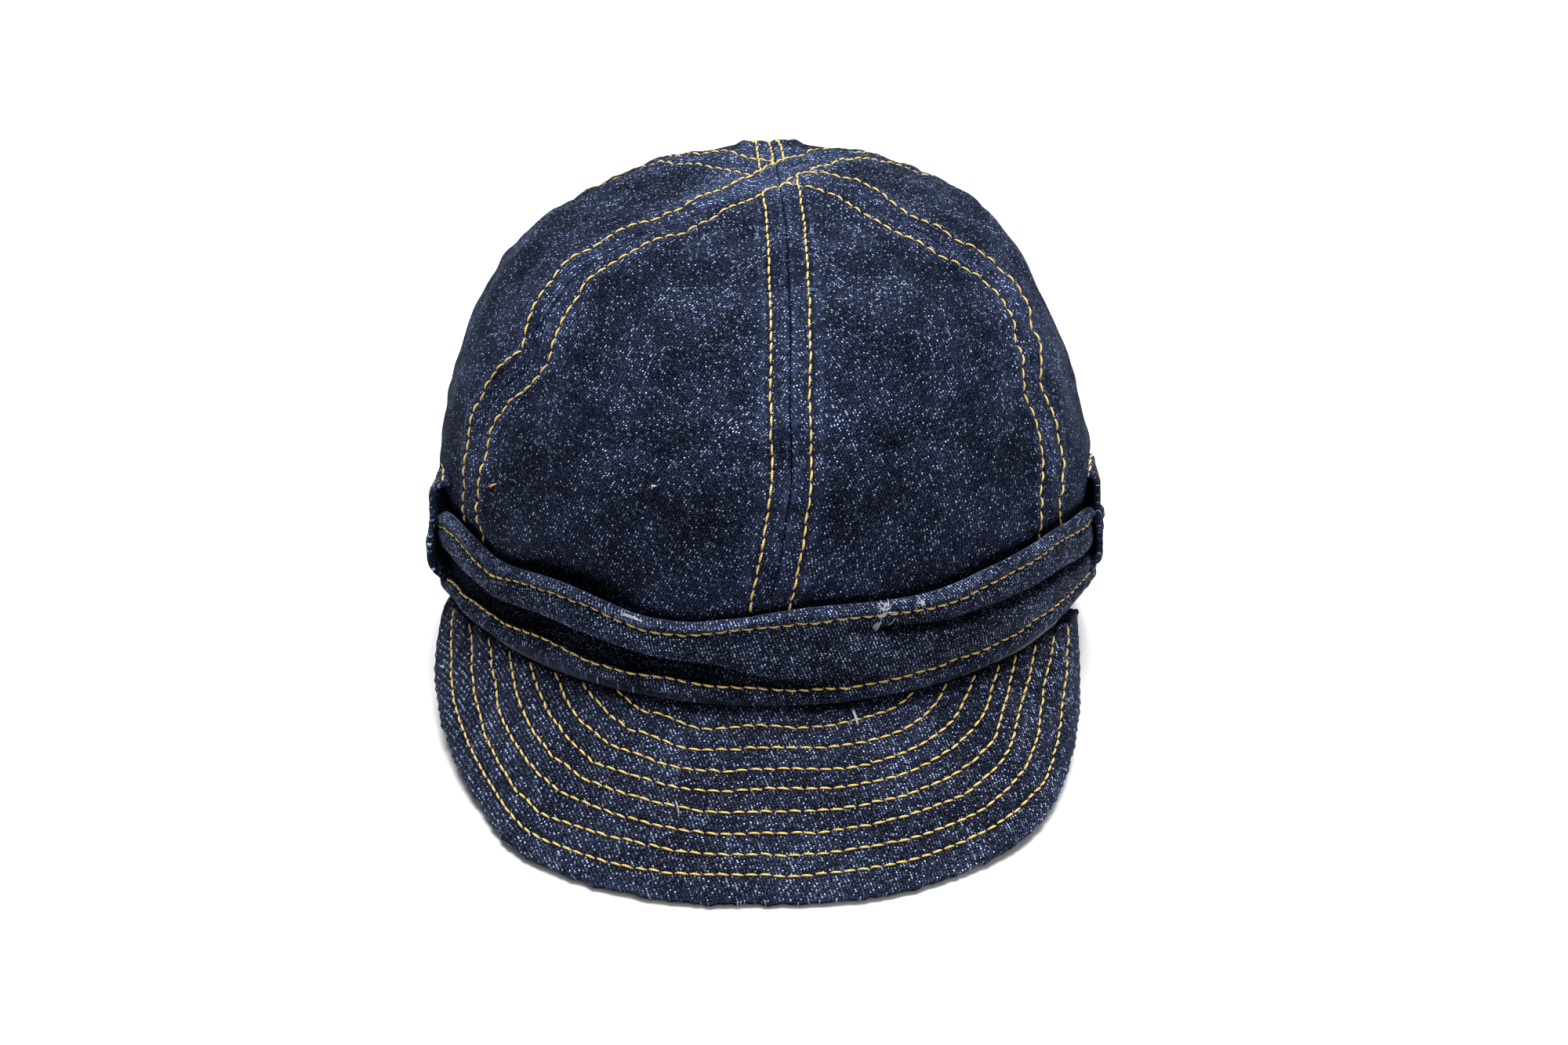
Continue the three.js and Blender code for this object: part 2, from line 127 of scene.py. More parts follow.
rim = curvesThrough("rise tall", [
    (0, 1, 1), (30, 0.99, 1), (50, 0.985, 0.99), (63, 0.95, 0.95), (76, 0.83, 0.89), (90, 0.58, 0.85),
    (106, 0.31, 0.85), (121, 0.1, 0.88), (136, 0, 0.9), (180, 0, 0.9),
])
band = dict(
    height=24.0, wall=2.3, flare=0.25, columns=560, rows=84, lipRadius=1.5,
    topRoll=0.85, topRollPlace=0.94, topRollSpread=0.045, lipRoll=0.75, lipRollPlace=0.085,
    lipRollSpread=0.06, lipEdge=0.15, rowDip=0.55, rowDipSpread=0.026,
    wavy=0.2, wavySize=17, pucker=0.16, puckerSize=6.5, puckerReach=0.13,
    creaseLow=0.03, creaseHigh=0.075, deepest=1.4,
    foldBulge=(0.13, 0.16), creaseBulge=(0.17, 0.15), lowBulge=(0.17, 0.42, 0.19),   # places and spreads
)
# Upper edge of the band by azimuth, as a share of its usual height there
bandTop = curvesThrough("top", [
    (-180, 1), (-105, 1), (-67, 1.17), (-52, 0.97), (-36, 1.08), (-18, 0.92), (-6, 1), (11, 1.16),
    (26, 1.12), (40, 1.2), (64, 1.24), (105, 1), (180, 1),
])
# How far the foot of the band's face is lifted over its lower edge by azimuth, as such a share
bandLow = curvesThrough("low", [
    (-180, 0), (-66, 0), (-54, 0), (-45, 0.07), (-38, 0.1), (-25, 0.08), (-6, 0.05), (12, 0.03),
    (28, 0.05), (46, 0.065), (62, 0.095), (80, 0.05), (105, 0), (180, 0),
])
# By azimuth, heights as shares of the way from the band's lower edge to its upper one: the left
# fold's edge, how far the cloth steps in below it and where it comes back; the right crease and how
# deep it is; the bulges above and below; the two stitch rows
bandFold = curvesThrough("edge depth back crease deep upper lower rowTop rowLow", [
    (-180, 0.55, 0, 0.2, 0.5, 0, 0.3, 0.3, 0.86, 0.17),
    (-105, 0.55, 0, 0.2, 0.5, 0, 0.4, 0.3, 0.86, 0.18),
    (-88, 0.56, 0.8, 0.2, 0.5, 0, 0.6, 0.2, 0.85, 0.19),
    (-75, 0.57, 2.2, 0.2, 0.5, 0, 0.9, 0.1, 0.84, 0.195),
    (-66, 0.57, 3.0, 0.2, 0.5, 0, 1.3, 0, 0.835, 0.2),
    (-55, 0.575, 3.2, 0.27, 0.5, 0, 1.6, 0, 0.815, 0.26),
    (-46, 0.565, 3.4, 0.26, 0.5, 0, 1.8, 0, 0.858, 0.25),
    (-38, 0.555, 3.5, 0.225, 0.5, 0, 1.9, 0, 0.87, 0.217),
    (-30, 0.55, 3.5, 0.195, 0.5, 0, 1.8, 0, 0.885, 0.187),
    (-23, 0.545, 3.4, 0.205, 0.5, 0, 1.7, 0, 0.858, 0.197),
    (-16, 0.53, 3.1, 0.235, 0.5, 0, 1.6, 0, 0.85, 0.225),
    (-10, 0.5, 2.6, 0.21, 0.6, 0, 1.5, 0.1, 0.863, 0.203),
    (-5, 0.42, 2.3, 0.2, 0.7, 0, 1.3, 0.3, 0.89, 0.2),
    (2, 0.31, 1.9, 0.165, 0.78, 0, 1.1, 0.7, 0.877, 0.165),
    (8, 0.28, 1.5, 0.155, 0.79, 0.1, 0.8, 1.1, 0.868, 0.152),
    (14, 0.26, 1.0, 0.15, 0.76, 0.9, 0.8, 1.5, 0.887, 0.146),
    (20, 0.25, 0.4, 0.16, 0.7, 2.0, 1.0, 1.8, 0.887, 0.158),
    (27, 0.25, 0, 0.16, 0.64, 2.6, 1.3, 1.8, 0.866, 0.165),
    (35, 0.25, 0, 0.18, 0.58, 2.9, 1.6, 1.7, 0.852, 0.177),
    (46, 0.25, 0, 0.18, 0.52, 2.9, 1.8, 1.5, 0.858, 0.175),
    (55, 0.25, 0, 0.18, 0.485, 2.8, 1.8, 1.2, 0.863, 0.174),
    (64, 0.25, 0, 0.18, 0.455, 2.6, 1.7, 1.0, 0.836, 0.18),
    (74, 0.25, 0, 0.18, 0.44, 1.5, 1.2, 0.7, 0.84, 0.18),
    (88, 0.25, 0, 0.18, 0.44, 0, 0.6, 0.4, 0.85, 0.17),
    (180, 0.55, 0, 0.2, 0.5, 0, 0.3, 0.3, 0.86, 0.17),
])


def rimHeight(azimuth):
    return cap["frontLift"] * rim["rise"](np.abs(wrapDegrees(azimuth)))


def bandTall(azimuth):
    return band["height"] * rim["tall"](np.abs(wrapDegrees(azimuth)))


# How full the band's wall is at a height: a quarter circle at each of its two lips
def bandLip(azimuth, height):
    return rounded(bandTall(azimuth) * np.minimum(height, 1 - height), band["lipRadius"])


# Band's oval at a share of its height: half axes times sine and cosine, moved out by a distance
def bandPoint(azimuth, height, out):
    angle = np.radians(azimuth)
    return np.stack([
        (halfWidth + out) * np.sin(angle), -(halfLength + out) * np.cos(angle),
        rimHeight(azimuth) + bandTall(azimuth) * height,
    ], -1)


# Height of a place on the band's face as a share of the usual height, from its share of the way
# between the band's two edges, and how far the band leans out there over the crown
def bandRise(azimuth, height, low):
    azimuth = wrapDegrees(azimuth)
    top = bandTop["top"](azimuth)
    start = low * bandLow["low"](azimuth)
    flare = np.maximum(top - 1, 0) * band["height"] * band["flare"]
    return start + (top - start) * height, flare * height ** 2


# Band's outer face: the oval moved out by two bulges, a fold that steps in sharply and comes back
# softly, a crease, rolled edges, a dip at each stitch row and uneven ripples; its lips follow quarter
# circles
def bandFace(azimuth, height):
    azimuth, height = np.broadcast_arrays(wrapDegrees(azimuth), height)
    fold = {name: curve(azimuth) for name, curve in bandFold.items()}
    creased = fold["deep"] >= 0.05
    over, spread = band["foldBulge"]
    out = fold["upper"] * bell(height - (fold["edge"] + over), spread) * ~creased
    over, spread = band["creaseBulge"]
    out += fold["upper"] * bell(height - (fold["crease"] + over), spread) * creased
    under, highest, spread = band["lowBulge"]
    out += fold["lower"] * bell(height - np.minimum(fold["crease"] - under, highest), spread)
    steppedIn = fadeIn(height, fold["edge"] + 0.01, fold["edge"] - 0.03)
    steppedIn = steppedIn * fadeIn(height, fold["back"] + 0.005, fold["back"] + 0.055)
    out -= np.minimum(fold["depth"], out + band["deepest"]) * steppedIn
    spread = np.where(height > fold["crease"], band["creaseHigh"], band["creaseLow"])
    out -= np.minimum(fold["deep"], out + band["deepest"]) * bell(height - fold["crease"], spread)
    out += band["topRoll"] * bell(height - band["topRollPlace"], band["topRollSpread"])
    out += band["lipRoll"] * bell(height - band["lipRollPlace"], band["lipRollSpread"])
    for row in ("rowTop", "rowLow"):
        out -= band["rowDip"] * bell(height - fold[row], band["rowDipSpread"])
    arc = np.radians(azimuth) * halfLength
    spot = np.stack([np.cos(np.radians(azimuth)) * 60, np.sin(np.radians(azimuth)) * 60, height * 30], -1)
    out += band["wavy"] * ripples(spot, band["wavySize"], 3)
    pull = sum(bell(height - fold[row], band["puckerReach"]) for row in ("rowTop", "rowLow"))
    out += band["pucker"] * pull * ripples(np.stack([arc, height * 14], -1), band["puckerSize"], 5)
    lip = bandLip(azimuth, height)
    rise, lean = bandRise(azimuth, height, 1)
    return bandPoint(azimuth, rise, out * lip - (band["wall"] / 2 - band["lipEdge"]) * (1 - lip) + lean)


crown = dict(
    wall=1.4, tuck=8.0, leanX=2.9, leanY=12.0, topHole=0.3, columns=104, rows=140,
    ditch=0.7, ditchSpread=0.9, pad=0.8, padEdge=6.9, padFade=3.0, rowDip=0.26, rowDipSpread=0.75,
    wavy=0.42, wavySize=34, wavyFine=0.13, wavyFineSize=12, rowOffset=5.3,
    pucker=0.24, puckerPlace=4.5, puckerSpread=4.2, puckerSize=7.5, panelHalf=30,   # degrees
)
meridian = curvesThrough("height left right front back", [
    (0, 0, 1, 1, 1, 1), (0.1, 0.1, 1, 1, 1, 1), (0.2, 0.22, 1.022, 1.01, 1.008, 1.007),
    (0.3, 0.38, 1.008, 0.974, 0.994, 0.996), (0.4, 0.54, 0.96, 0.909, 0.948, 0.948),
    (0.5, 0.68, 0.895, 0.813, 0.868, 0.868), (0.6, 0.8, 0.798, 0.721, 0.753, 0.753),
    (0.7, 0.895, 0.652, 0.577, 0.587, 0.602), (0.8, 0.96, 0.436, 0.386, 0.396, 0.401),
    (0.9, 0.99, 0.2, 0.18, 0.19, 0.19), (1, 1, 0, 0, 0, 0),
])
bandEdgeShare = 0.1
seamNames = ["front", "right", "backRight", "back", "backLeft", "left"]
seams = curvesThrough(" ".join(seamNames), [
    (0, 0.5, 58, 120, 180, 240, 298.5), (0.1, 0.5, 57.5, 120, 180, 240, 299),
    (0.2, 1.3, 55, 120, 180, 240, 300.7), (0.3, 2.6, 58.6, 121, 180, 240, 300.5),
    (0.4, 3.4, 59.6, 123, 180, 239, 302.1), (0.5, 3.1, 64, 126, 180, 237, 309.2),
    (0.6, 3.3, 65.9, 130, 181, 234, 307.7), (0.7, 3.4, 58.4, 135, 182, 231, 309.8),
    (0.8, 3.9, 56.5, 138, 183, 229, 316.5), (0.9, 4.7, 64.6, 141, 183, 229, 321.5),
    (1, 5, 67.5, 142, 183, 229, 322),
])
# Dents of the crown: azimuth, share of the way up, spreads of both, depth; a puff is negative
crownDents = [
    (-56, 0.6, 10, 0.07, -1.6), (-50, 0.44, 9, 0.06, 1.7), (-28, 0.34, 16, 0.13, -1.7),
    (-32, 0.1, 18, 0.05, 1.3), (22, 0.36, 12, 0.07, 1.6), (32, 0.6, 14, 0.08, -1.3),
    (68, 0.57, 9, 0.06, -1.7), (60, 0.4, 9, 0.06, 1.4), (150, 0.4, 20, 0.1, 1.6),
    (-150, 0.36, 18, 0.12, 1.3), (-128, 0.7, 22, 0.1, 2.5), (180, 0.75, 24, 0.1, 1.6),
    (104, 0.63, 14, 0.07, -2.2), (87, 0.3, 22, 0.1, 1.0), (188, 0.88, 12, 0.06, -0.7),
    (-33, 0.13, 9, 0.035, 1.6),
]


# Crown without dents: an oval that shrinks by the table's reach and leans as it rises from its base
def crownDome(azimuth, share):
    sine, cosine = np.sin(np.radians(azimuth)), np.cos(np.radians(azimuth))
    side = np.where(sine > 0, meridian["right"](share), meridian["left"](share))
    along = np.where(cosine > 0, meridian["front"](share), meridian["back"](share))
    height = meridian["height"](share)
    base = rimHeight(azimuth) + bandTall(azimuth) - crown["tuck"]
    lean = np.maximum((height - bandEdgeShare) / (1 - bandEdgeShare), 0)
    inset = band["wall"] + cap["clearance"]
    return np.stack([
        (halfWidth - inset) * side * sine + crown["leanX"] * lean,
        -(halfLength - inset) * along * cosine + crown["leanY"] * lean,
        base + (cap["height"] - base) * height,
    ], -1)


# Signed distance to the nearest seam along the cloth, that seam's number, and millimetres a degree
def seamDistance(azimuth, share):
    perDegree = np.linalg.norm(crownDome(azimuth + 0.5, share) - crownDome(azimuth - 0.5, share), axis=-1)
    gaps = np.stack([wrapDegrees(azimuth - seams[name](share)) for name in seamNames], -1)
    nearest = np.abs(gaps).argmin(-1)
    gap = np.take_along_axis(gaps, nearest[..., None], -1)[..., 0]
    return gap * perDegree, nearest, perDegree


# How far the crown's cloth lies under the dome: dents as bells of azimuth and share, and beside a
# seam a narrow ditch, a raised strip over the allowance, a dip at the stitch row and puckers
def crownDepth(azimuth, share):
    depth = np.zeros(np.broadcast(azimuth, share).shape)
    for place, height, spread, tall, deep in crownDents:
        depth += deep * bell(wrapDegrees(azimuth - place), spread) * bell(share - height, tall)
    distance, nearest, perDegree = seamDistance(azimuth, share)
    distance = np.abs(distance)
    faded = np.clip(perDegree * crown["panelHalf"] / crown["rowOffset"], 0, 1)
    faded = faded * np.clip(share / bandEdgeShare - 1, 0, 1)
    relief = crown["ditch"] * bell(distance, crown["ditchSpread"])
    relief -= crown["pad"] * fadeIn(distance, crown["padEdge"] + crown["padFade"], crown["padEdge"])
    relief += crown["rowDip"] * bell(distance - crown["rowOffset"], crown["rowDipSpread"])
    alongSeam = np.stack([share * 150 + 60 * nearest, distance * 0.5], -1)
    puckers = bell(distance - crown["puckerPlace"], crown["puckerSpread"])
    relief += crown["pucker"] * puckers * ripples(alongSeam, crown["puckerSize"], 11)
    spot = crownDome(azimuth, share)
    free = fadeIn(share, bandEdgeShare, 2 * bandEdgeShare)
    depth += crown["wavy"] * ripples(spot, crown["wavySize"], 21) * free
    depth += crown["wavyFine"] * ripples(spot, crown["wavyFineSize"], 22) * free
    return depth + relief * faded


# Crown's outer face: the dome moved in along its own outward direction
def crownFace(azimuth, share):
    normal = outward(crownDome, azimuth, share, *slopeSteps["dome"])
    return crownDome(azimuth, share) - normal * crownDepth(azimuth, share)[..., None]


peak = dict(
    layer=1.5, reach=42.8, halfWidth=83.4, setback=56.0, shift=-2.2, squareness=2.1, arch=1.6,
    columns=300, rows=84, edgeRadius=1.5, edgeRough=0.16, rowDip=0.34, rowDipSpread=0.8,
    wavy=0.28, wavySize=26, pucker=0.13, puckerSize=6, edgeLip=0.12, thinnest=0.08,
    edgeRoughSizes=(2.6, 9), edgeRoughReach=4,
)
peakThickness = 2 * peak["layer"] + cap["clearance"]
peakEnds = dict(right=71, left=-77, edgeRight=95, edgeLeft=-101)   # degrees, at the band and the edge
# By share of the way from the front to the end: height of the edge, and its reach on each side as a
# share of the oval
peakEdge = curvesThrough("lift left right", [
    (0, 0, 0.996, 0.996), (0.1, 0.006, 1.008, 1.007), (0.2, 0.012, 1.016, 1.02),
    (0.32, 0.014, 1.019, 1.029), (0.4, 0.016, 1.024, 1.034), (0.48, 0.03, 1.001, 1.038),
    (0.58, 0.06, 0.975, 1.031), (0.67, 0.1, 0.969, 1.01), (0.76, 0.16, 0.977, 0.996),
    (0.85, 0.26, 0.993, 0.991), (0.92, 0.42, 1.002, 0.987), (1, 0.74, 1.004, 0.985),
])


# Distance of each stitch row of the peak from its edge, by share across from the right end to the left
peakRows = curvesThrough("row1 row2 row3 row4 row5 row6 row7 row8", [
    (0.02, 4.2, 8.0, 12.0, 16.0, 19.5, 24.0, 29.5, 36.0),
    (0.1, 4.6, 8.3, 12.0, 16.0, 19.5, 24.0, 29.5, 36.0),
    (0.14, 3.8, 8.9, 12.2, 16.0, 19.5, 24.0, 29.5, 36.0),
    (0.18, 3.6, 8.0, 12.7, 16.1, 19.5, 24.0, 29.5, 36.0),
    (0.22, 4.4, 8.4, 12.8, 16.3, 19.7, 24.2, 29.5, 36.0),
    (0.26, 5.0, 8.9, 13.3, 17.0, 21.3, 25.3, 30.0, 36.0),
    (0.3, 5.3, 9.3, 13.8, 18.2, 22.7, 26.8, 31.4, 36.5),
    (0.34, 5.6, 9.7, 14.4, 18.7, 23.4, 27.7, 32.5, 37.9),
    (0.42, 5.6, 10.1, 14.8, 19.7, 24.7, 29.3, 34.8, 40.5),
    (0.5, 5.6, 10.1, 14.8, 19.7, 24.8, 29.7, 35.1, 40.7),
    (0.58, 5.1, 10.5, 15.2, 20.3, 24.8, 29.7, 34.9, 40.6),
    (0.62, 4.7, 9.9, 14.9, 19.8, 24.2, 29.1, 34.0, 38.3),
    (0.66, 4.5, 9.3, 14.6, 19.2, 22.9, 27.2, 31.2, 35.2),
    (0.7, 4.2, 8.0, 12.6, 16.4, 20.6, 24.7, 29.6, 33.0),
    (0.74, 3.8, 7.0, 11.6, 15.7, 20.2, 24.8, 29.0, 33.0),
    (0.78, 3.7, 7.0, 11.4, 16.1, 20.8, 25.0, 29.0, 33.0),
    (0.82, 3.7, 7.4, 12.6, 17.6, 21.0, 25.0, 29.0, 33.0),
    (0.86, 3.9, 8.6, 14.0, 18.0, 21.0, 25.0, 29.0, 33.0),
    (0.9, 4.6, 9.9, 14.0, 18.0, 21.0, 25.0, 29.0, 33.0),
    (0.94, 5.6, 10.0, 14.0, 18.0, 21.0, 25.0, 29.0, 33.0),
])


# Underside of the peak: lines from beneath the band to a full oval edge, with a slight arch. u runs
# from the right end to the left one, v from the band to the edge
def peakUnderside(u, v):
    azimuth = peakEnds["right"] + (peakEnds["left"] - peakEnds["right"]) * u
    edgeAzimuth = peakEnds["edgeRight"] + (peakEnds["edgeLeft"] - peakEnds["edgeRight"]) * u
    edgeEnd = np.where(edgeAzimuth < 0, peakEnds["edgeLeft"], peakEnds["edgeRight"])
    sine, cosine = np.sin(np.radians(edgeAzimuth)), np.cos(np.radians(edgeAzimuth))
    fullSine, fullCosine = (np.sign(s) * np.abs(s) ** (2 / peak["squareness"]) for s in (sine, cosine))
    root = bandPoint(azimuth, 0, -band["wall"] - peakThickness / 2)
    root[..., 2] -= cap["clearance"] + peakThickness
    way = edgeAzimuth / edgeEnd
    reach = np.where(edgeAzimuth < 0, peakEdge["left"](way), peakEdge["right"](way))
    edge = np.stack([
        peak["shift"] + peak["halfWidth"] * reach * fullSine,
        peak["setback"] - halfLength - (peak["reach"] + peak["setback"]) * reach * fullCosine,
        cap["frontLift"] * peakEdge["lift"](way),
    ], -1)
    v = np.asarray(v)[..., None]
    point = root + (edge - root) * v
    point[..., 2] += peak["arch"] * np.sin(np.pi * v[..., 0]) * np.maximum(cosine, 0)
    return point


loop = dict(
    width=13.0, wall=1.7, height=27.4, stand=4.6, rearGap=-0.9, rows=72, columns=22, bumps=0.12,
    stitchRows=(0.045, 0.83, 0.965), stitchReach=5.8, thinEdge=0.1,
)
loopPath = curvesThrough("height stand", [
    (0, 0, 0.13), (0.12, 0.07, 0.24), (0.28, 0.2, 0.92), (0.44, 0.42, 1), (0.6, 0.64, 0.92),
    (0.76, 0.86, 0.95), (0.88, 0.965, 0.82), (0.95, 0.995, 0.5), (1, 1, 0),
])
# Azimuth, height of the lower end over the rim as a share of the band's, stand-off as a share
loopPlaces = {"side_loop_right": (76, 0.38, 0.66), "side_loop_left": (-75, 0.275, 1)}


# Quads of a closed body between two grids of points, and each corner's place on the cloth. A ring's
# last column meets its first
def closedShell(outer, inner, cloth, ring=False):
    columns, rows = outer.shape[:2]
    spans, top = (columns if ring else columns - 1), rows - 1
    i, j = (part.ravel() for part in np.meshgrid(np.arange(spans), np.arange(top), indexing="ij"))
    s, r = np.arange(spans), np.arange(top)

    def quads(*corners):
        return np.stack([np.stack(np.broadcast_arrays(*corner), -1) for corner in corners], 1)

    sheets = [
        quads((0, i, j), (0, i + 1, j), (0, i + 1, j + 1), (0, i, j + 1)),
        quads((1, i, j), (1, i, j + 1), (1, i + 1, j + 1), (1, i + 1, j)),
        quads((0, s, 0), (1, s, 0), (1, s + 1, 0), (0, s + 1, 0)),
        quads((0, s, top), (0, s + 1, top), (1, s + 1, top), (1, s, top)),
    ]
    if not ring:
        sheets.append(quads((0, 0, r), (0, 0, r + 1), (1, 0, r + 1), (1, 0, r)))
        sheets.append(quads((0, spans, r), (1, spans, r), (1, spans, r + 1), (0, spans, r + 1)))
    corner = np.concatenate(sheets)
    faces = corner[..., 0] * columns * rows + (corner[..., 1] % columns) * rows + corner[..., 2]
    points = np.concatenate([outer.reshape(-1, 3), inner.reshape(-1, 3)])
    return points, faces, cloth[corner[..., 1], corner[..., 2]]


# Mesh object from points in millimetres, quads, corner places on the cloth and point attributes
def addPiece(name, points, faces, cloth, material, slot, replaced=(), **attributes):
    mesh = bpy.data.meshes.new(name)
    mesh.from_pydata((points + np.array(cap["frameShift"])) * 0.001, [], faces)
    mesh.polygons.foreach_set("use_smooth", np.ones(len(faces), bool))
    layer = mesh.uv_layers.new(name="cloth")
    layer.data.foreach_set("uv", (cloth * 0.001).astype(np.float32).ravel())
    for key, values in attributes.items():
        data = mesh.attributes.new(key, "FLOAT", "POINT").data
        data.foreach_set("value", values.astype(np.float32).ravel())
    mesh.materials.append(material)
    mesh.update()
    piece = bpy.data.objects.new(name, mesh)
    bpy.context.scene.collection.objects.link(piece)
    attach(piece, "root")
    if replaced:
        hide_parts(*replaced)


# Cloth shell that stands for a CAD node. Each attribute is a pair, a number or a grid for the outer
# face and one for the inner face, held between 0 and 1
def addShell(node, outer, inner, cloth, material, slot, ring=False, **pairs):
    points, faces, corners = closedShell(outer, inner, cloth, ring)
    shape = outer.shape[:2]
    attributes = {
        key: np.concatenate([np.broadcast_to(np.clip(side, 0, 1), shape).ravel() for side in pair])
        for key, pair in pairs.items()
    }
    addPiece(node + "_cloth", points, faces, corners, material, slot, [node], **attributes)


# Points and quads of several bodies as one
def joined(bodies):
    points, faces = zip(*bodies)
    offsets = np.cumsum([0] + [len(part) for part in points[:-1]])
    return np.concatenate(points), np.concatenate([quads + offset for quads, offset in zip(faces, offsets)])


# Quads of many closed tubes whose rings have an even number of points, with quads over both ends
def tubeFaces(count, rings, sides):
    i, j = (part.ravel() for part in np.meshgrid(np.arange(rings - 1), np.arange(sides), indexing="ij"))
    after = (j + 1) % sides
    body = np.stack([i * sides + j, i * sides + after, (i + 1) * sides + after, (i + 1) * sides + j], -1)
    last, fan = (rings - 1) * sides, range(1, sides - 1, 2)
    starts = [[k + 2, k + 1, k, 0] for k in fan]
    ends = [[last, last + k, last + k + 1, last + k + 2] for k in fan]
    quads = np.concatenate([body, starts, ends])
    return (quads[None] + (np.arange(count) * rings * sides)[:, None, None]).reshape(-1, 4)


# Length along a line of points, from its first one
def runLength(points):
    steps = np.linalg.norm(np.diff(points, axis=0), axis=-1)
    return np.concatenate([[0], np.cumsum(steps)])


# Helpers that add one shader node each and give back its output
def shaderTools(name):
    material = bpy.data.materials.new(name)
    material.use_nodes = True
    tree = material.node_tree
    tree.nodes.clear()

    def add(kind, sockets, output=0, **settings):
        node = tree.nodes.new("ShaderNode" + kind)
        for key, value in settings.items():
            setattr(node, key, value)
        for key, value in sockets.items():
            if isinstance(value, bpy.types.NodeSocket):
                tree.links.new(value, node.inputs[key])
            else:
                node.inputs[key].default_value = value
        return node.outputs[output] if node.outputs else None

    def math(operation, *values):
        return add("Math", dict(enumerate(values)), operation=operation)

    def fade(value, start, end, low=0.0, high=1.0):
        sockets = {"Value": value, "From Min": start, "From Max": end, "To Min": low, "To Max": high}
        return add("MapRange", sockets, interpolation_type="SMOOTHSTEP")

    def mix(factor, first, second, blend="MIX"):
        sockets = {0: factor, 6: first, 7: second}
        return add("Mix", sockets, output=2, data_type="RGBA", blend_type=blend)

    def noise(place, size, detail=2.0, roughness=0.5):
        sockets = {"Vector": place, "Scale": 1 / size, "Detail": detail, "Roughness": roughness}
        return add("TexNoise", sockets, output="Fac")

    return material, add, mix, noise, math, fade


# Place on the cloth in millimetres, from the piece's own map
def clothPlace(add):
    return add("VectorMath", {0: add("UVMap", {}, uv_map="cloth"), "Scale": 1000.0}, operation="SCALE")


def attribute(add, name):
    return add("Attribute", {}, output="Fac", attribute_name=name)


def addSurface(add, sockets):
    add("OutputMaterial", {"Surface": add("BsdfPrincipled", sockets)})


denimLook = dict(
    waleStep=0.8, waleRise=0.56, waleAngle=70, unevenness=0.35, grainRandom=0.35,
    shadow=(0.0004, 0.0006, 0.0018, 1), base=(0.0008, 0.0013, 0.0042, 1), dash=(0.0070, 0.0120, 0.0320, 1),
    nep=(0.46, 0.56, 0.78, 1), worn=(0.022, 0.034, 0.078, 1), reverse=(0.05, 0.065, 0.11, 1),
    grain=(0.041, 0.055, 0.108, 1), sheenTint=(0.26, 0.40, 0.78, 1),
    nepShare=0.235, nepSize=0.85, clump=0.3, stripeLow=0.08, fibre=0.10, hairSize=1.7, grainSize=0.40,
    patchSize=7.0, toneSize=24.0, dull=0.55, wornShare=0.45, wornNeps=0.35, shadeDark=0.85,
    roughness=0.82, gloss=0.02, sheen=0.035, sheenRoughness=0.4, bump=0.6, bumpHeight=0.00012,
)


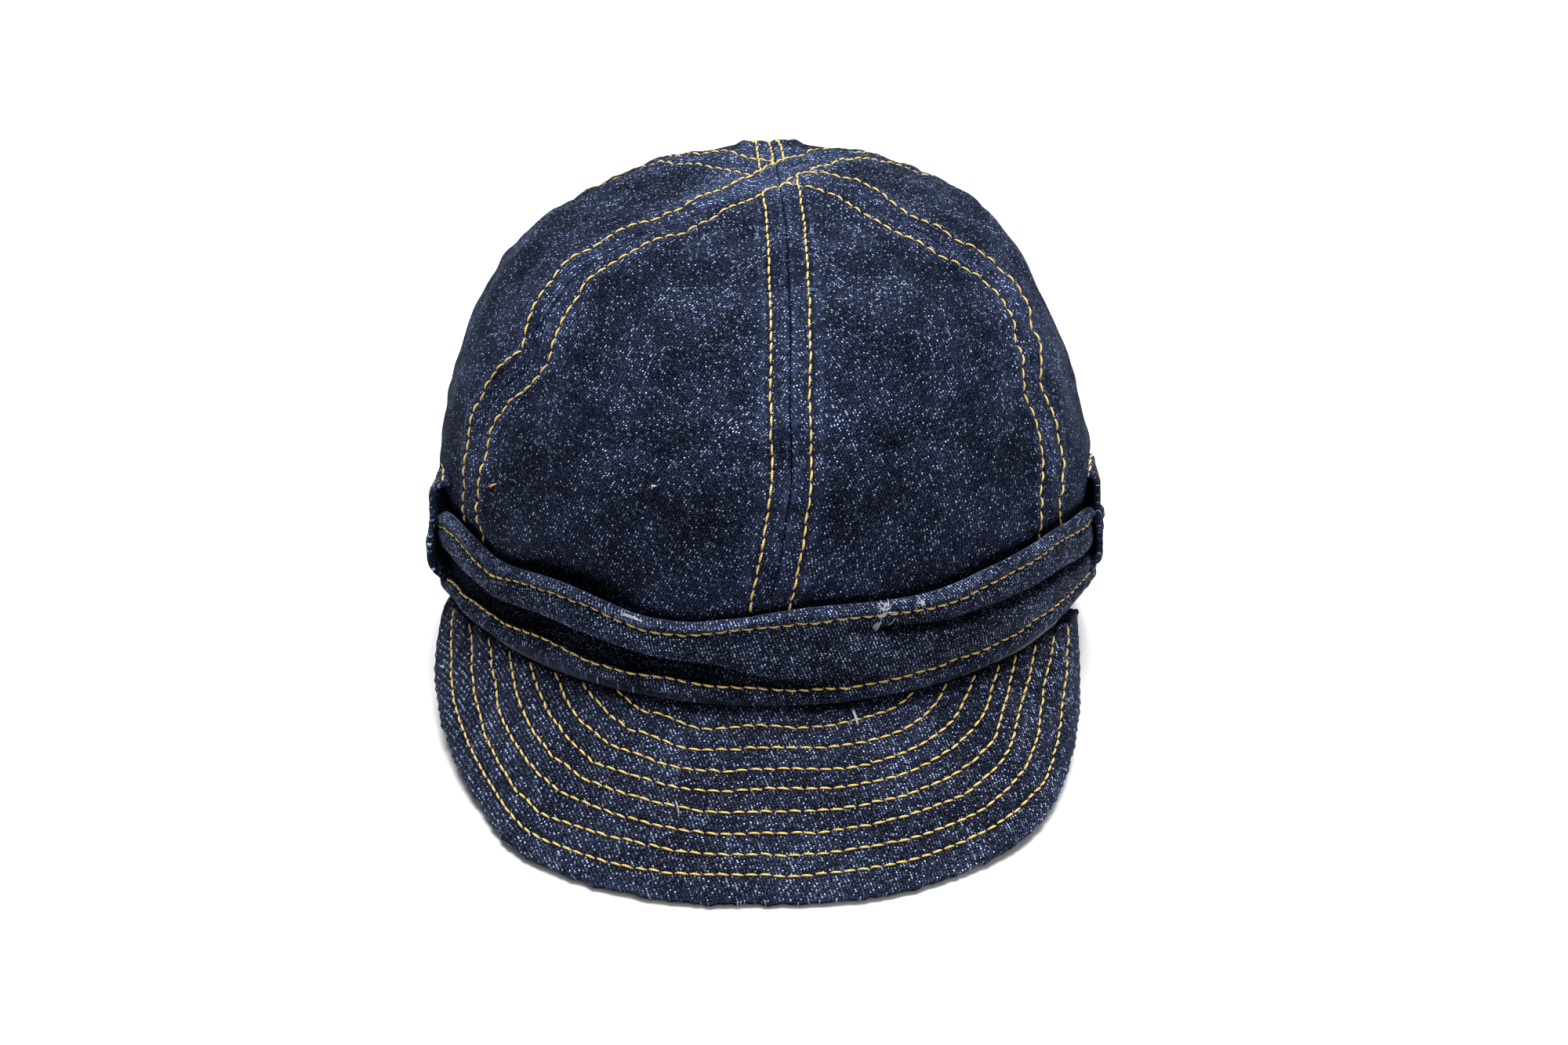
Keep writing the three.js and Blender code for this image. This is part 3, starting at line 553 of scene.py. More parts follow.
# Denim: cells of a slanted lattice on the cloth carry a pale fleck where the weft shows, and a blue
# dash of warp between them, both uneven from cell to cell and patch to patch. Fine grain striped
# along the twill, hair-thin contours of noise as loose fibres, and broad tones lie over them. The
# attributes make it pale where worn, dim with painted shade that also dims its gloss and sheen, and lighter
# on the cloth's back
def denimMaterial(name, **changes):
    look = {**denimLook, **changes}
    material, add, mix, noise, math, fade = shaderTools(name)
    place = clothPlace(add)

    def vector(operation, first, second):
        return add("VectorMath", {0: first, 1: second}, operation=operation)

    angle = np.radians(look["waleAngle"])
    lattice = np.array([
        [look["waleStep"], -look["waleRise"] * np.cos(angle)],
        [0.17, look["waleRise"] * np.sin(angle)],
    ])
    inverse = np.linalg.inv(lattice)
    rows = [
        add("VectorMath", {0: place, 1: (*line, 0)}, output="Value", operation="DOT_PRODUCT")
        for line in inverse
    ]
    slub = add("TexNoise", {"Vector": place, "Scale": 0.4, "Detail": 2.0}, output="Color")
    drift = vector("SUBTRACT", slub, (0.5, 0.5, 0.5))
    drift = add("VectorMath", {0: drift, "Scale": look["unevenness"] * 2}, operation="SCALE")
    cell = vector("ADD", add("CombineXYZ", {0: rows[0], 1: rows[1]}), drift)

    def grains(shift, shape):
        moved = vector("ADD", cell, shift)
        sockets = {"Vector": moved, "Scale": 1.0, "Randomness": look["grainRandom"]}
        centre = add("TexVoronoi", sockets, output="Position", voronoi_dimensions="2D")
        colour = add("TexVoronoi", sockets, output="Color", voronoi_dimensions="2D")
        away = vector("MULTIPLY", vector("SUBTRACT", moved, centre), shape)
        chance = add("SeparateColor", {0: colour}, output="Red")
        other = add("SeparateColor", {0: colour}, output="Green")
        return add("VectorMath", {0: away}, output="Value", operation="LENGTH"), chance, other

    wear = attribute(add, "wear")
    shade = attribute(add, "shade")
    reverse = attribute(add, "reverse")
    patch = noise(place, look["patchSize"], detail=3.0, roughness=0.6)
    tone = noise(place, look["toneSize"], detail=3.0)

    away, chance, other = grains((0.0, 0.0, 0.0), (0.8, 0.56, 0.0))
    fewest, most = look["nepShare"] * (1 - look["clump"]), look["nepShare"] * (1 + look["clump"])
    crowd = fade(patch, 0.3, 0.7, fewest, most)
    crowd = math("ADD", crowd, math("MULTIPLY", wear, look["wornNeps"]))
    bright = fade(chance, math("SUBTRACT", 1.0, crowd), 1.02)
    radius = math("MULTIPLY_ADD", other, 0.10 * look["nepSize"], 0.12 * look["nepSize"])
    fleck = fade(away, math("MULTIPLY", radius, 0.55), math("MULTIPLY", radius, 1.25), 1.0, 0.0)
    nep = math("MULTIPLY", fleck, math("MULTIPLY_ADD", bright, 0.98, 0.015))

    awayDash, chanceDash, _ = grains((0.5, 0.5, 0.0), (2.2, 1.0, 0.0))
    warpFloat = fade(awayDash, 0.25, 0.85, 1.0, 0.0)
    dashTone = math("POWER", chanceDash, 1.7)
    dashTone = math("MULTIPLY", dashTone, fade(patch, 0.25, 0.75, 0.45, 1.25))
    dash = math("MULTIPLY", warpFloat, dashTone)

    colour = mix(fade(tone, 0.3, 0.7), look["shadow"], look["base"])
    colour = mix(math("MULTIPLY", wear, look["wornShare"]), colour, look["worn"])
    colour = mix(dash, colour, look["dash"])
    stripe = math("SINE", math("MULTIPLY", add("SeparateXYZ", {0: cell}, output="X"), 2 * np.pi))
    twill = fade(stripe, -1.2, 1.0, look["stripeLow"], 1.0)
    grain = math("MULTIPLY", fade(noise(place, look["grainSize"], detail=1.0), 0.5, 0.68), twill)
    colour = mix(math("MULTIPLY", grain, fade(patch, 0.2, 0.75, 0.45, 1.0)), colour, look["grain"])
    hair = math("ABSOLUTE", math("SUBTRACT", noise(place, look["hairSize"], detail=1.0), 0.5))
    hair = fade(hair, 0.0, 0.022, look["fibre"], 0.0)
    moved = vector("ADD", place, (31.0, 17.0, 0.0))
    hair = math("MULTIPLY", hair, fade(noise(moved, 1.3), 0.48, 0.62))
    colour = mix(hair, colour, look["nep"])
    colour = mix(nep, colour, look["nep"])
    paler = mix(math("MULTIPLY", fleck, 0.5), look["reverse"], colour)
    colour = mix(reverse, colour, paler)
    # Painted shade from the shade attribute, times broad random dull patches; it dims the gloss and sheen
    # too
    paintedShadeAndTone = math("SUBTRACT", 1.0, math("MULTIPLY", shade, look["shadeDark"]))
    paintedShadeAndTone = math("MULTIPLY", paintedShadeAndTone, fade(tone, 0.32, 0.66, look["dull"], 1.2))
    dim = add("CombineColor", {0: paintedShadeAndTone, 1: paintedShadeAndTone, 2: paintedShadeAndTone})
    colour = mix(1.0, colour, dim, blend="MULTIPLY")

    height = math("MULTIPLY_ADD", warpFloat, 0.7, math("MULTIPLY", fleck, 0.6))
    height = math("MULTIPLY_ADD", noise(place, 0.35), 0.5, height)
    height = math("MULTIPLY_ADD", grain, 0.5, height)
    normal = add("Bump", {"Strength": look["bump"], "Distance": look["bumpHeight"], "Height": height})
    addSurface(add, {
        "Base Color": colour, "Roughness": look["roughness"], "Normal": normal,
        "Specular IOR Level": math("MULTIPLY", paintedShadeAndTone, look["gloss"]),
        "Sheen Weight": math("MULTIPLY", paintedShadeAndTone, look["sheen"]), "Sheen Tint": look["sheenTint"],
        "Sheen Roughness": look["sheenRoughness"],
    })
    return material


# Thread colours: light and dark give painted light and shade across the plies, dark also random dull
# patches, and the deepest one painted shade where a stitch sinks into the cloth
threadLook = dict(
    light=(0.62, 0.45, 0.115, 1), dark=(0.22, 0.115, 0.016, 1), sunkShade=(0.05, 0.02, 0.006, 1),
    ply=0.55, roughness=0.5, bump=0.6, bumpHeight=0.00008,
)
lintLook = dict(
    dull=(0.22, 0.26, 0.33, 1), pale=(0.42, 0.44, 0.46, 1), indigo=(0.035, 0.085, 0.17, 1),
    tan=(0.34, 0.16, 0.10, 1),
)


# Thread: painted light and shade in slanted bands round each stitch, light on the crests of two twisted
# plies and dark in the grooves between them
def threadMaterial(name):
    material, add, mix, noise, math, fade = shaderTools(name)
    place = clothPlace(add)
    along = add("VectorMath", {0: place, 1: (1 / threadLook["ply"], 1.1, 0)}, output="Value",
                operation="DOT_PRODUCT")
    twist = math("SINE", math("MULTIPLY", along, 2 * np.pi))
    groove = fade(twist, -0.95, -0.1)
    tone = noise(place, 5.0)
    colour = mix(groove, threadLook["dark"], threadLook["light"])
    colour = mix(fade(tone, 0.35, 0.7, 0.0, 0.35), colour, threadLook["dark"])
    end = attribute(add, "shade")
    # Painted shade at each stitch's ends, where it sinks into the cloth
    colour = mix(math("MULTIPLY", end, 0.85), colour, threadLook["sunkShade"])
    normal = add("Bump", {
        "Strength": threadLook["bump"], "Distance": threadLook["bumpHeight"], "Height": groove,
    })
    addSurface(add, {
        "Base Color": colour, "Roughness": threadLook["roughness"], "Normal": normal,
        "Specular IOR Level": 0.45, "Sheen Weight": 0.1,
    })
    return material


# Lint: cotton fluff, whitish, with indigo or tan where the attributes say so
def lintMaterial(name):
    material, add, mix, noise, *_ = shaderTools(name)
    place = add("TexCoord", {}, output="Object")
    colour = mix(noise(place, 0.002), lintLook["dull"], lintLook["pale"])
    indigo = attribute(add, "indigo")
    tan = attribute(add, "tan")
    colour = mix(indigo, colour, lintLook["indigo"])
    colour = mix(tan, colour, lintLook["tan"])
    addSurface(add, {
        "Base Color": colour, "Roughness": 0.9, "Specular IOR Level": 0.1, "Sheen Weight": 0.3,
    })
    return material


denim = denimMaterial("denim")
denimBand = denimMaterial("denimBand", patchSize=6.0, nepShare=0.43, grain=(0.074, 0.094, 0.164, 1))
denimPeak = denimMaterial(
    "denimPeak", patchSize=9.0, nepShare=0.35, grain=(0.060, 0.071, 0.120, 1), dull=0.75,
)
denimUnder = denimMaterial("denimUnder", nepShare=0.45)
goldThread = threadMaterial("goldThread")
cottonLint = lintMaterial("cottonLint")
print("materials made")


# Height of points on the crown over the band's upper edge
def aboveBand(azimuth, points):
    return points[..., 2] - rimHeight(azimuth) - bandTall(azimuth) * bandTop["top"](wrapDegrees(azimuth))


# Worn places and painted shade of the crown as amount, place and spread, from the seam in mm unless noted
crownTones = dict(
    wornLines=((0.9, 0.9, 0.6), (0.5, 7.2, 1.1)), wornStrip=(0.18, 4, 4),
    wornTop=(0.5, 0.94, 0.07),   # by share of the way up
    # Painted shade: in the seam's ditch, along the stitch rows, and as a shadow in the crease over the
    # band's upper edge, reaching bandReach mm up and more round one azimuth
    paintedSeamShade=(0.4, 0, 0.4), paintedRowShade=(0.45, crown["rowOffset"], 0.7), paintedShadowOverBand=0.9,
    bandReach=1.3, bandReachMore=(4.0, -33, 10),   # mm over the band, and more of it round an azimuth
)


# One crown panel between two seams: columns stand closer near the seams, each long edge keeps half
# the gap, and the inner face lies one wall under the outer one
def crownPanel(name, fromSeam, toSeam, mirrored):
    across = 0.5 - 0.5 * np.cos(np.pi * np.linspace(0, 1, crown["columns"] + 1))[:, None]
    share = ((1 - crown["topHole"] / cap["height"]) * np.linspace(0, 1, crown["rows"] + 1))[None, :]
    start = seams[fromSeam](share)
    sweep = (seams[toSeam](share) - start) % 360
    halfReach = np.linalg.norm(crownDome(start + sweep / 2, share) - crownDome(start, share), axis=-1)
    gap = sweep * cap["clearance"] / (4 * halfReach)
    azimuth = start + gap + (sweep - 2 * gap) * across
    share = np.broadcast_to(share, azimuth.shape)
    outer = crownFace(azimuth, share)
    inner = outer - crown["wall"] * outward(crownDome, azimuth, share, *slopeSteps["dome"])
    middle = runLength(outer[crown["columns"] // 2])
    widths = (across - 0.5) * 2 * halfReach * (-1 if mirrored else 1)
    cloth = np.stack(np.broadcast_arrays(widths, middle[None, :]), -1)
    distance = np.abs(seamDistance(azimuth, share)[0])
    above = fadeIn(share, 0.12, 0.2)
    streak = 0.6 + 0.4 * ripples(outer, 5, 31)
    wear = bells(distance, *crownTones["wornLines"]) * above * streak
    wear += bells(distance, crownTones["wornStrip"]) * above + bells(share, crownTones["wornTop"])
    # Painted shade in the seam's ditch and along the stitch rows, and a painted shadow in the crease over
    # the band's upper edge
    shade = bells(distance, crownTones["paintedSeamShade"]) * fadeIn(share, 0.985, 0.95)
    shade += bells(distance, crownTones["paintedRowShade"]) * above
    most, place, spread = crownTones["bandReachMore"]
    reach = crownTones["bandReach"] + most * bell(wrapDegrees(azimuth - place), spread)
    shade += crownTones["paintedShadowOverBand"] * bell(np.maximum(aboveBand(azimuth, outer), 0), reach)
    addShell(name, outer, inner, cloth, denim, "denim", wear=(wear, 0), shade=(shade, 0), reverse=(0, 1))


for name, fromSeam, toSeam, mirrored in [
    ("crown_panel_front_right", "front", "right", False),
    ("crown_panel_side_right", "right", "backRight", False),
    ("crown_panel_back_right", "backRight", "back", True),
    ("crown_panel_back_left", "back", "backLeft", False),
    ("crown_panel_side_left", "backLeft", "left", False),
    ("crown_panel_front_left", "left", "front", True),
]:
    crownPanel(name, fromSeam, toSeam, mirrored)
print("crown made")


# Worn places and painted shade of the band as amount, place and spread by height, the fold's and the rows'
# from their own places
bandTones = dict(
    wornTop=(0.55, 0.955, 0.04), wornFoot=(0.35, 0.06, 0.05), wornFold=(0.25, 0.05, 0.05),
    wornCorner=(1.2, -22, 1.8), wornCornerHeight=(1, 0.95, 0.045),   # by azimuth, and by height
    paintedRowShade=(0.45, 0, 0.024), paintedCreaseShade=0.9, creaseHigh=0.1, creaseLow=0.035,
    fullFold=3, fullCrease=2.6,   # mm of depth for the full amount
)


# Band: a ring whose outer face carries the folds and whose inner face is plain with rounded lips
def foldedBand():
    azimuth = (360 * np.arange(band["columns"]) / band["columns"])[:, None]
    height = (0.5 - 0.5 * np.cos(np.pi * np.linspace(0, 1, band["rows"] + 1)))[None, :] * 0.55
    height = height + 0.45 * np.linspace(0, 1, band["rows"] + 1)[None, :]
    azimuth, height = np.broadcast_arrays(azimuth, height)
    outer = bandFace(azimuth, height)
    lip = bandLip(azimuth, height)
    rise, lean = bandRise(azimuth, height, 0)
    inner = bandPoint(azimuth, rise, lean - band["wall"] + (band["wall"] / 2 - band["lipEdge"]) * (1 - lip))
    arc = runLength(outer[:, band["rows"] // 2])
    arc = np.append(arc, arc[-1] + arc[1])
    steps = np.linalg.norm(np.diff(outer, axis=1), axis=-1)
    along = np.concatenate([np.zeros((len(outer), 1)), np.cumsum(steps, axis=1)], axis=1)
    along = np.concatenate([along, along[:1]])
    cloth = np.stack(np.broadcast_arrays(arc[:, None], along), -1)
    fold = {key: curve(wrapDegrees(azimuth)) for key, curve in bandFold.items()}
    streak = 0.6 + 0.4 * ripples(outer, 6, 41)
    folded = np.clip(fold["depth"] / bandTones["fullFold"], 0, 1)
    wear = bells(height, bandTones["wornTop"], bandTones["wornFoot"]) * streak
    wear += bells(height - fold["edge"], bandTones["wornFold"]) * folded * streak
    most, place, spread = bandTones["wornCorner"]
    corner = most * bell(wrapDegrees(azimuth - place), spread)
    wear += corner * bells(height, bandTones["wornCornerHeight"])
    # Painted shade along the stitch rows, in the hollow under the left fold's overhang, and in the right
    # crease
    shade = sum(bells(height - fold[row], bandTones["paintedRowShade"]) for row in ("rowTop", "rowLow"))
    recessShade = fadeIn(height, fold["edge"] + 0.03, fold["edge"] - 0.02) * folded
    shade += recessShade * fadeIn(height, fold["back"] - 0.02, fold["back"] + 0.03)
    spread = np.where(height > fold["crease"], bandTones["creaseHigh"], bandTones["creaseLow"])
    groove = bandTones["paintedCreaseShade"] * bell(height - fold["crease"], spread)
    shade += groove * np.clip(fold["deep"] / bandTones["fullCrease"], 0, 1)
    addShell(
        "band", outer, inner, cloth, denimBand, "denim_band", ring=True,
        wear=(wear, 0), shade=(shade, 0), reverse=(0, 0.4),
    )


foldedBand()
print("band made")


# Rows of the peak's grid: even up to the rounded edge, closer together on it
peakSteps = np.concatenate([
    np.linspace(0, 0.955, peak["rows"] - 11),
    0.955 + 0.045 * np.sin(np.linspace(0, np.pi / 2, 13))[1:],
])
peakColumns = np.linspace(0, 1, peak["columns"] + 1)


# Distance from grid points of the peak to its outer edge seen from above, the least over its points
def distanceToEdge(points):
    edge = peakUnderside(np.linspace(0, 1, 400), np.ones(400)).astype(np.float32)
    flat = points.reshape(-1, 3).astype(np.float32)
    square = sum((flat[:, k, None] - edge[None, :, k]) ** 2 for k in range(2))
    return np.sqrt(square.min(1)).reshape(points.shape[:2])


# Worn places and painted shade of the peak by distance from the edge, as amount, place and spread
peakTones = dict(worn=(1, 0, 0.9), paintedRowShade=(0.5, 0, 0.62), paintedRootShade=0.5, rootReach=0.12, underWorn=0.6)


# Peak's two layers: each lies along the underside's outward direction. Towards the edge both
# outer faces bend to the middle by a quarter circle. The upper one dips at each stitch row
def peakLayers():
    u, v = np.broadcast_arrays(peakColumns[:, None], peakSteps[None, :])
    base = peakUnderside(u, v)
    normal = outward(peakUnderside, u, v, *slopeSteps["peak"])
    away = distanceToEdge(base)
    edgeRun = np.stack([u * 330, np.zeros(u.shape)], -1)
    rough = sum(
        ripples(edgeRun, size, 51 + number) * peak["edgeRough"]
        for number, size in enumerate(peak["edgeRoughSizes"])
    )
    bend = rounded(away + 0.02, peak["edgeRadius"])
    rowPlaces = [curve(u) for curve in peakRows.values()]
    dips = sum(bell(away - place, peak["rowDipSpread"]) for place in rowPlaces)
    relief = -peak["rowDip"] * dips + peak["wavy"] * ripples(base, peak["wavySize"], 53)
    spread = np.stack([u * 250, away * 0.6], -1)
    relief += peak["pucker"] * ripples(spread, peak["puckerSize"], 54) * fadeIn(away, 2, 5)
    middle, lip = peakThickness / 2, peak["edgeLip"]
    sideways = unit(peakUnderside(u, v + 0.01) - peakUnderside(u, v - 0.01))
    edgeMove = sideways * (rough * fadeIn(away, peak["edgeRoughReach"], 0))[..., None]
    upper = middle + lip + (middle - lip) * bend + relief * bend
    lower = np.minimum(upper - peak["thinnest"], middle + cap["clearance"] / 2)
    outer = base + normal * upper[..., None] + edgeMove
    inner = base + normal * lower[..., None] + edgeMove
    cloth = np.stack([base[..., 0] + 200, base[..., 1] * 1.15], -1)
    worn = np.clip(bells(away, peakTones["worn"]) * (0.3 + 0.3 * ripples(base, 5, 55)), 0, 1)
    # Painted shade along the stitch rows and near the root, under the band's lower lip
    shade = sum(bells(away - place, peakTones["paintedRowShade"]) for place in rowPlaces)
    shade += peakTones["paintedRootShade"] * fadeIn(v, peakTones["rootReach"], 0)
    addShell(
        "peak_top", outer, inner, cloth, denimPeak, "denim_peak",
        wear=(worn, 0), shade=(shade, 0), reverse=(0, 0.5),
    )
    under = (middle - lip) * (1 - bend) + 0.5 * peak["rowDip"] * dips * bend
    over = np.maximum(under + peak["thinnest"], middle - cap["clearance"] / 2)
    outer = base + normal * over[..., None] + edgeMove
    inner = base + normal * under[..., None] + edgeMove
    addShell(
        "peak_underside", outer, inner, cloth, denimUnder, "denim_under",
        wear=(0, worn * peakTones["underWorn"]), shade=(0, shade), reverse=(0, 0),
    )
    return away, base + normal * upper[..., None], normal, rowPlaces


peakGrid = peakLayers()
print("peak made")


# Distance from the head's axis to the crown at given heights, by halving the share between bounds
def crownReach(azimuth, heights):
    low, high = np.zeros(np.shape(heights)), np.full(np.shape(heights), 0.5)
    for _ in range(14):
        share = (low + high) / 2
        under = crownDome(azimuth, share)[..., 2] < heights
        low, high = np.where(under, share, low), np.where(under, high, share)
    spot = crownDome(azimuth, low)
    return np.hypot(spot[..., 0], spot[..., 1])


# Distance from the head's axis to the cap's outside at given heights: the crown, or the band before it
def bodyReach(azimuth, heights):
    top = bandTop["top"](wrapDegrees(azimuth))
    height = (heights - rimHeight(azimuth)) / bandTall(azimuth) / top
    spot = bandFace(azimuth, np.clip(height, 0, 1))
    onBand = np.hypot(spot[..., 0], spot[..., 1]) * (height < 1)
    return np.maximum(crownReach(azimuth, heights), onBand)


# Middle line of a strap loop: from its seat on the band it stands off and folds back on the crown,
# and its rear long edge keeps close to the body
def loopLine(azimuth, low, stand):
    seat = bandPoint(azimuth, 0, 0)
    foot = seat[2] + band["height"] * low
    bandReach = np.hypot(seat[0], seat[1])
    topReach = crownReach(azimuth, foot + loop["height"])
    radial = np.array([seat[0] / bandReach, seat[1] / bandReach, 0])
    along = np.array([-radial[1], radial[0], 0])
    turn = np.degrees(loop["width"] / 2 / bandReach)
    places = np.linspace(0, 1, 121)
    behind = bodyReach(azimuth + turn * np.sign(azimuth), foot + loop["height"] * loopPath["height"](places))
    behind = behind * np.cos(np.radians(turn)) + loop["rearGap"]

    def line(at, offset):
        rise = loopPath["height"](at)
        reach = bandReach + (topReach - bandReach) * rise - offset ** 2 / cap["length"]
        reach = reach + cap["clearance"] + loop["stand"] * stand * loopPath["stand"](at)
        rear = np.clip(0.5 + offset * np.sign(azimuth) / loop["width"], 0, 1)
        rearReach = np.minimum(np.interp(at, places, behind), reach + loop["rearGap"])
        reach = reach + (rearReach - reach) * rear
        upright = (foot + loop["height"] * rise)[..., None] * np.array([0, 0, 1])
        return radial * reach[..., None] + along * offset[..., None] + upright
    return line


# Strap loop: the line swept over the strap's width, with its wall along the strap's own outward
# direction and thinner at the long edges
def strapLoop(name):
    line = loopLine(*loopPlaces[name])
    at = np.linspace(0, 1, loop["rows"] + 1)[None, :]
    across = np.sin(np.pi / 2 * np.linspace(-1, 1, loop["columns"] + 1))[:, None]
    at, across = np.broadcast_arrays(at, across)
    offset = across * loop["width"] / 2
    normal = -outward(line, at, offset, *slopeSteps["loop"])
    full = rounded(loop["width"] / 2 - np.abs(offset), loop["wall"] / 2)
    full = full * (1 - loop["thinEdge"]) + loop["thinEdge"]
    middle = line(at, offset) + normal * loop["wall"] / 2
    bumpy = loop["bumps"] * ripples(np.stack([offset, at * 50], -1), 7, 61)
    outer = middle + normal * (loop["wall"] / 2 * full + bumpy * full)[..., None]
    inner = middle - normal * (loop["wall"] / 2 * full)[..., None]
    rise = runLength(outer[loop["columns"] // 2])
    cloth = np.stack(np.broadcast_arrays(offset, rise[None, :]), -1)
    wear = 0.5 * (1 - full) + 0.1
    addShell(
        name, outer, inner, cloth, denimBand, "denim_band",
        wear=(wear, wear), shade=(0, 0), reverse=(0, 0),
    )
    return line


loopLines = {name: strapLoop(name) for name in loopPlaces}
print("loops made")


stitch = dict(pitch=3.4, gap=0.22, thick=0.6, rings=6, sides=6, slant=0.07, wander=0.14)


# Stitches along a line on the cloth: each is a tube that rises from the cloth and sinks back, its
# radius a root of a sine along it, laid at a slight slant. Gives the body, each point's place along
# and round the thread, and how much painted shade it gets there, most at the ends where it sinks in
def stitchTubes(path, normals, seed):
    rng = np.random.default_rng(seed)
    run = runLength(path)
    count = max(int(run[-1] / stitch["pitch"]), 1)
    t = np.linspace(0, 1, stitch["rings"])
    start = np.arange(count) * run[-1] / count + rng.normal(0, 0.08, count)
    length = run[-1] / count - stitch["gap"] + rng.normal(0, 0.08, count)
    place = np.clip(start[:, None] + length[:, None] * t, 0, run[-1])

    def carried(values, at):
        return np.stack([np.interp(at, run, values[:, k]) for k in range(3)], -1)

    middle, up = carried(path, place), unit(carried(normals, place))
    ahead = unit(carried(path, place + 0.3) - carried(path, place - 0.3))
    side = unit(np.cross(ahead, up))
    arch = np.sin(np.pi * np.clip(t, 0.03, 0.97))
    slant = stitch["slant"] + rng.normal(0, 0.035, count)
    wander = rng.normal(0, stitch["wander"] / 2, count)
    aside = slant[:, None] * (t - 0.5) * stitch["pitch"] + wander[:, None]
    lift = stitch["thick"] * (1.05 * arch ** 0.45 - 0.62) + rng.normal(0, 0.03, count)[:, None]
    middle = middle + side * aside[..., None] + up * lift[..., None]
    radius = stitch["thick"] / 2 * arch ** 0.3
    turn = 2 * np.pi * np.arange(stitch["sides"]) / stitch["sides"]
    around = side[:, :, None] * np.cos(turn)[:, None] + up[:, :, None] * (0.85 * np.sin(turn))[:, None]
    points = middle[:, :, None] + around * radius[None, :, None, None]
    rings, sides = stitch["rings"], stitch["sides"]
    along = np.repeat(place[:, :, None], sides, 2).ravel()
    angle = np.broadcast_to(turn / (2 * np.pi), (count, rings, sides)).ravel()
    # Painted shade, strongest at the stitch's ends
    shade = np.broadcast_to((1 - arch ** 0.5)[None, :, None], (count, rings, sides)).ravel()
    body = points.reshape(-1, 3), tubeFaces(count, rings, sides)
    return body, np.stack([along, angle], -1), shade


# One piece from many runs of stitches
def addStitches(name, runs):
    bodies, places, shades = zip(*[stitchTubes(*run, 700 + number) for number, run in enumerate(runs)])
    points, faces = joined(bodies)
    places = np.concatenate(places)[faces]
    addPiece(name, points, faces, places, goldThread, "thread", shade=np.concatenate(shades))
    print(name, len(faces), "quads")


# Azimuth and share of the crown under given points: steps of least squares in the plane where the
# distance from the top is one minus the share
def onCrown(points):
    flat = points[:, :2] - crownDome(0.0, 1.0)[:2]
    spot, step = unit(flat * [1, -1]) * 0.5, 1e-3

    def parameters(q):
        return np.degrees(np.arctan2(q[:, 0], q[:, 1])), 1 - np.hypot(q[:, 0], q[:, 1])

    for _ in range(12):
        here = crownDome(*parameters(spot))
        moved = [crownDome(*parameters(spot + way)) for way in ([step, 0], [0, step])]
        slopes = np.stack([(there - here) / step for there in moved], -1)
        square = np.einsum("nki,nkj->nij", slopes, slopes) + 1e-6 * np.eye(2)
        pull = np.einsum("nki,nk->ni", slopes, points - here)
        move = np.linalg.solve(square, pull[..., None])[..., 0]
        size = np.linalg.norm(move, axis=1, keepdims=True)
        spot = spot + move * np.minimum(1, 0.08 / np.maximum(size, 1e-9))
    return parameters(spot)


crossing = dict(first="left", second="backRight", overlap=0.8, past=0.5, topShare=0.985)
rowOffsets = dict(
    front=(-4.8, 4.8), right=(-5.3, 5.3), backRight=(-5.3, 5.3), back=(-2.2, 0.8, 4.4),
    backLeft=(-5.3, 5.3), left=(-5.3, 5.3),
)


# Stitch rows of a seam, at an offset to its side: the seam's line on the dome moved sideways along
# the cloth and dropped back on it. The left and rear right seam's rows run on over the top, and
# the others end where they meet them
def crownRow(seam, offset):
    share = np.linspace(0.108, 0.999, 420)
    azimuth = seams[seam](share)
    line = crownDome(azimuth, share)
    ahead = unit(np.gradient(line, axis=0))
    normal = outward(crownDome, azimuth, np.minimum(share, 0.99), *slopeSteps["dome"])
    side = unit(np.cross(ahead, normal))
    points = line + side * offset
    flat = points[:, :2] - crownDome(0.0, 1.0)[:2]
    angle = np.radians(seams[crossing["first"]](0.95))
    lineAlong = np.array([np.sin(angle), -np.cos(angle)])
    lineAcross = np.array([lineAlong[1], -lineAlong[0]])
    if seam in (crossing["first"], crossing["second"]):
        sign = 1 if seam == crossing["first"] else -1
        kept = sign * flat @ lineAlong > -crossing["past"]
    else:
        start = flat[0] @ lineAcross
        kept = np.sign(start) * (flat @ lineAcross) > crown["rowOffset"] - crossing["overlap"]
        kept &= np.cumsum(~kept) == 0
    azimuth, share = onCrown(points[kept])
    inside = share < crossing["topShare"]
    azimuth, share = azimuth[inside], share[inside]
    path = crownFace(azimuth, share)
    normals = outward(crownFace, azimuth, np.minimum(share, 0.98), *slopeSteps["crown"])
    return path, normals


crownRuns = [crownRow(seam, offset) for seam, offsets in rowOffsets.items() for offset in offsets]
addStitches("crown_stitches", crownRuns)

bandAngles = np.linspace(-180, 180, 1400)
bandRuns = []
for row in ("rowTop", "rowLow"):
    heights = bandFold[row](bandAngles)
    path = bandFace(bandAngles, heights)
    bandRuns.append((path, outward(bandFace, bandAngles, heights, *slopeSteps["band"])))
addStitches("band_stitches", bandRuns)


# Stitch rows of the peak: in each column of its grid the place where the distance to the edge
# passes the row's own, found between the two nearest rows of the grid
def peakRuns():
    away, top, normal, rowPlaces = peakGrid
    column = np.arange(len(away))
    runs = []
    for row in rowPlaces:
        place = row[:, 0]
        after = np.clip((away > row).sum(1), 1, away.shape[1] - 1)
        near, far = away[column, after - 1], away[column, after]
        f = (near - place) / np.maximum(near - far, 1e-6)
        fine = (away[:, 0] > place) & (f >= 0) & (f <= 1)
        first, last = np.flatnonzero(fine)[[0, -1]]
        keep = slice(first, last + 1)
        f = f[keep, None]
        path = top[column, after - 1][keep] * (1 - f) + top[column, after][keep] * f
        runs.append((path, normal[column, after][keep]))
    return runs


addStitches("peak_stitches", peakRuns())

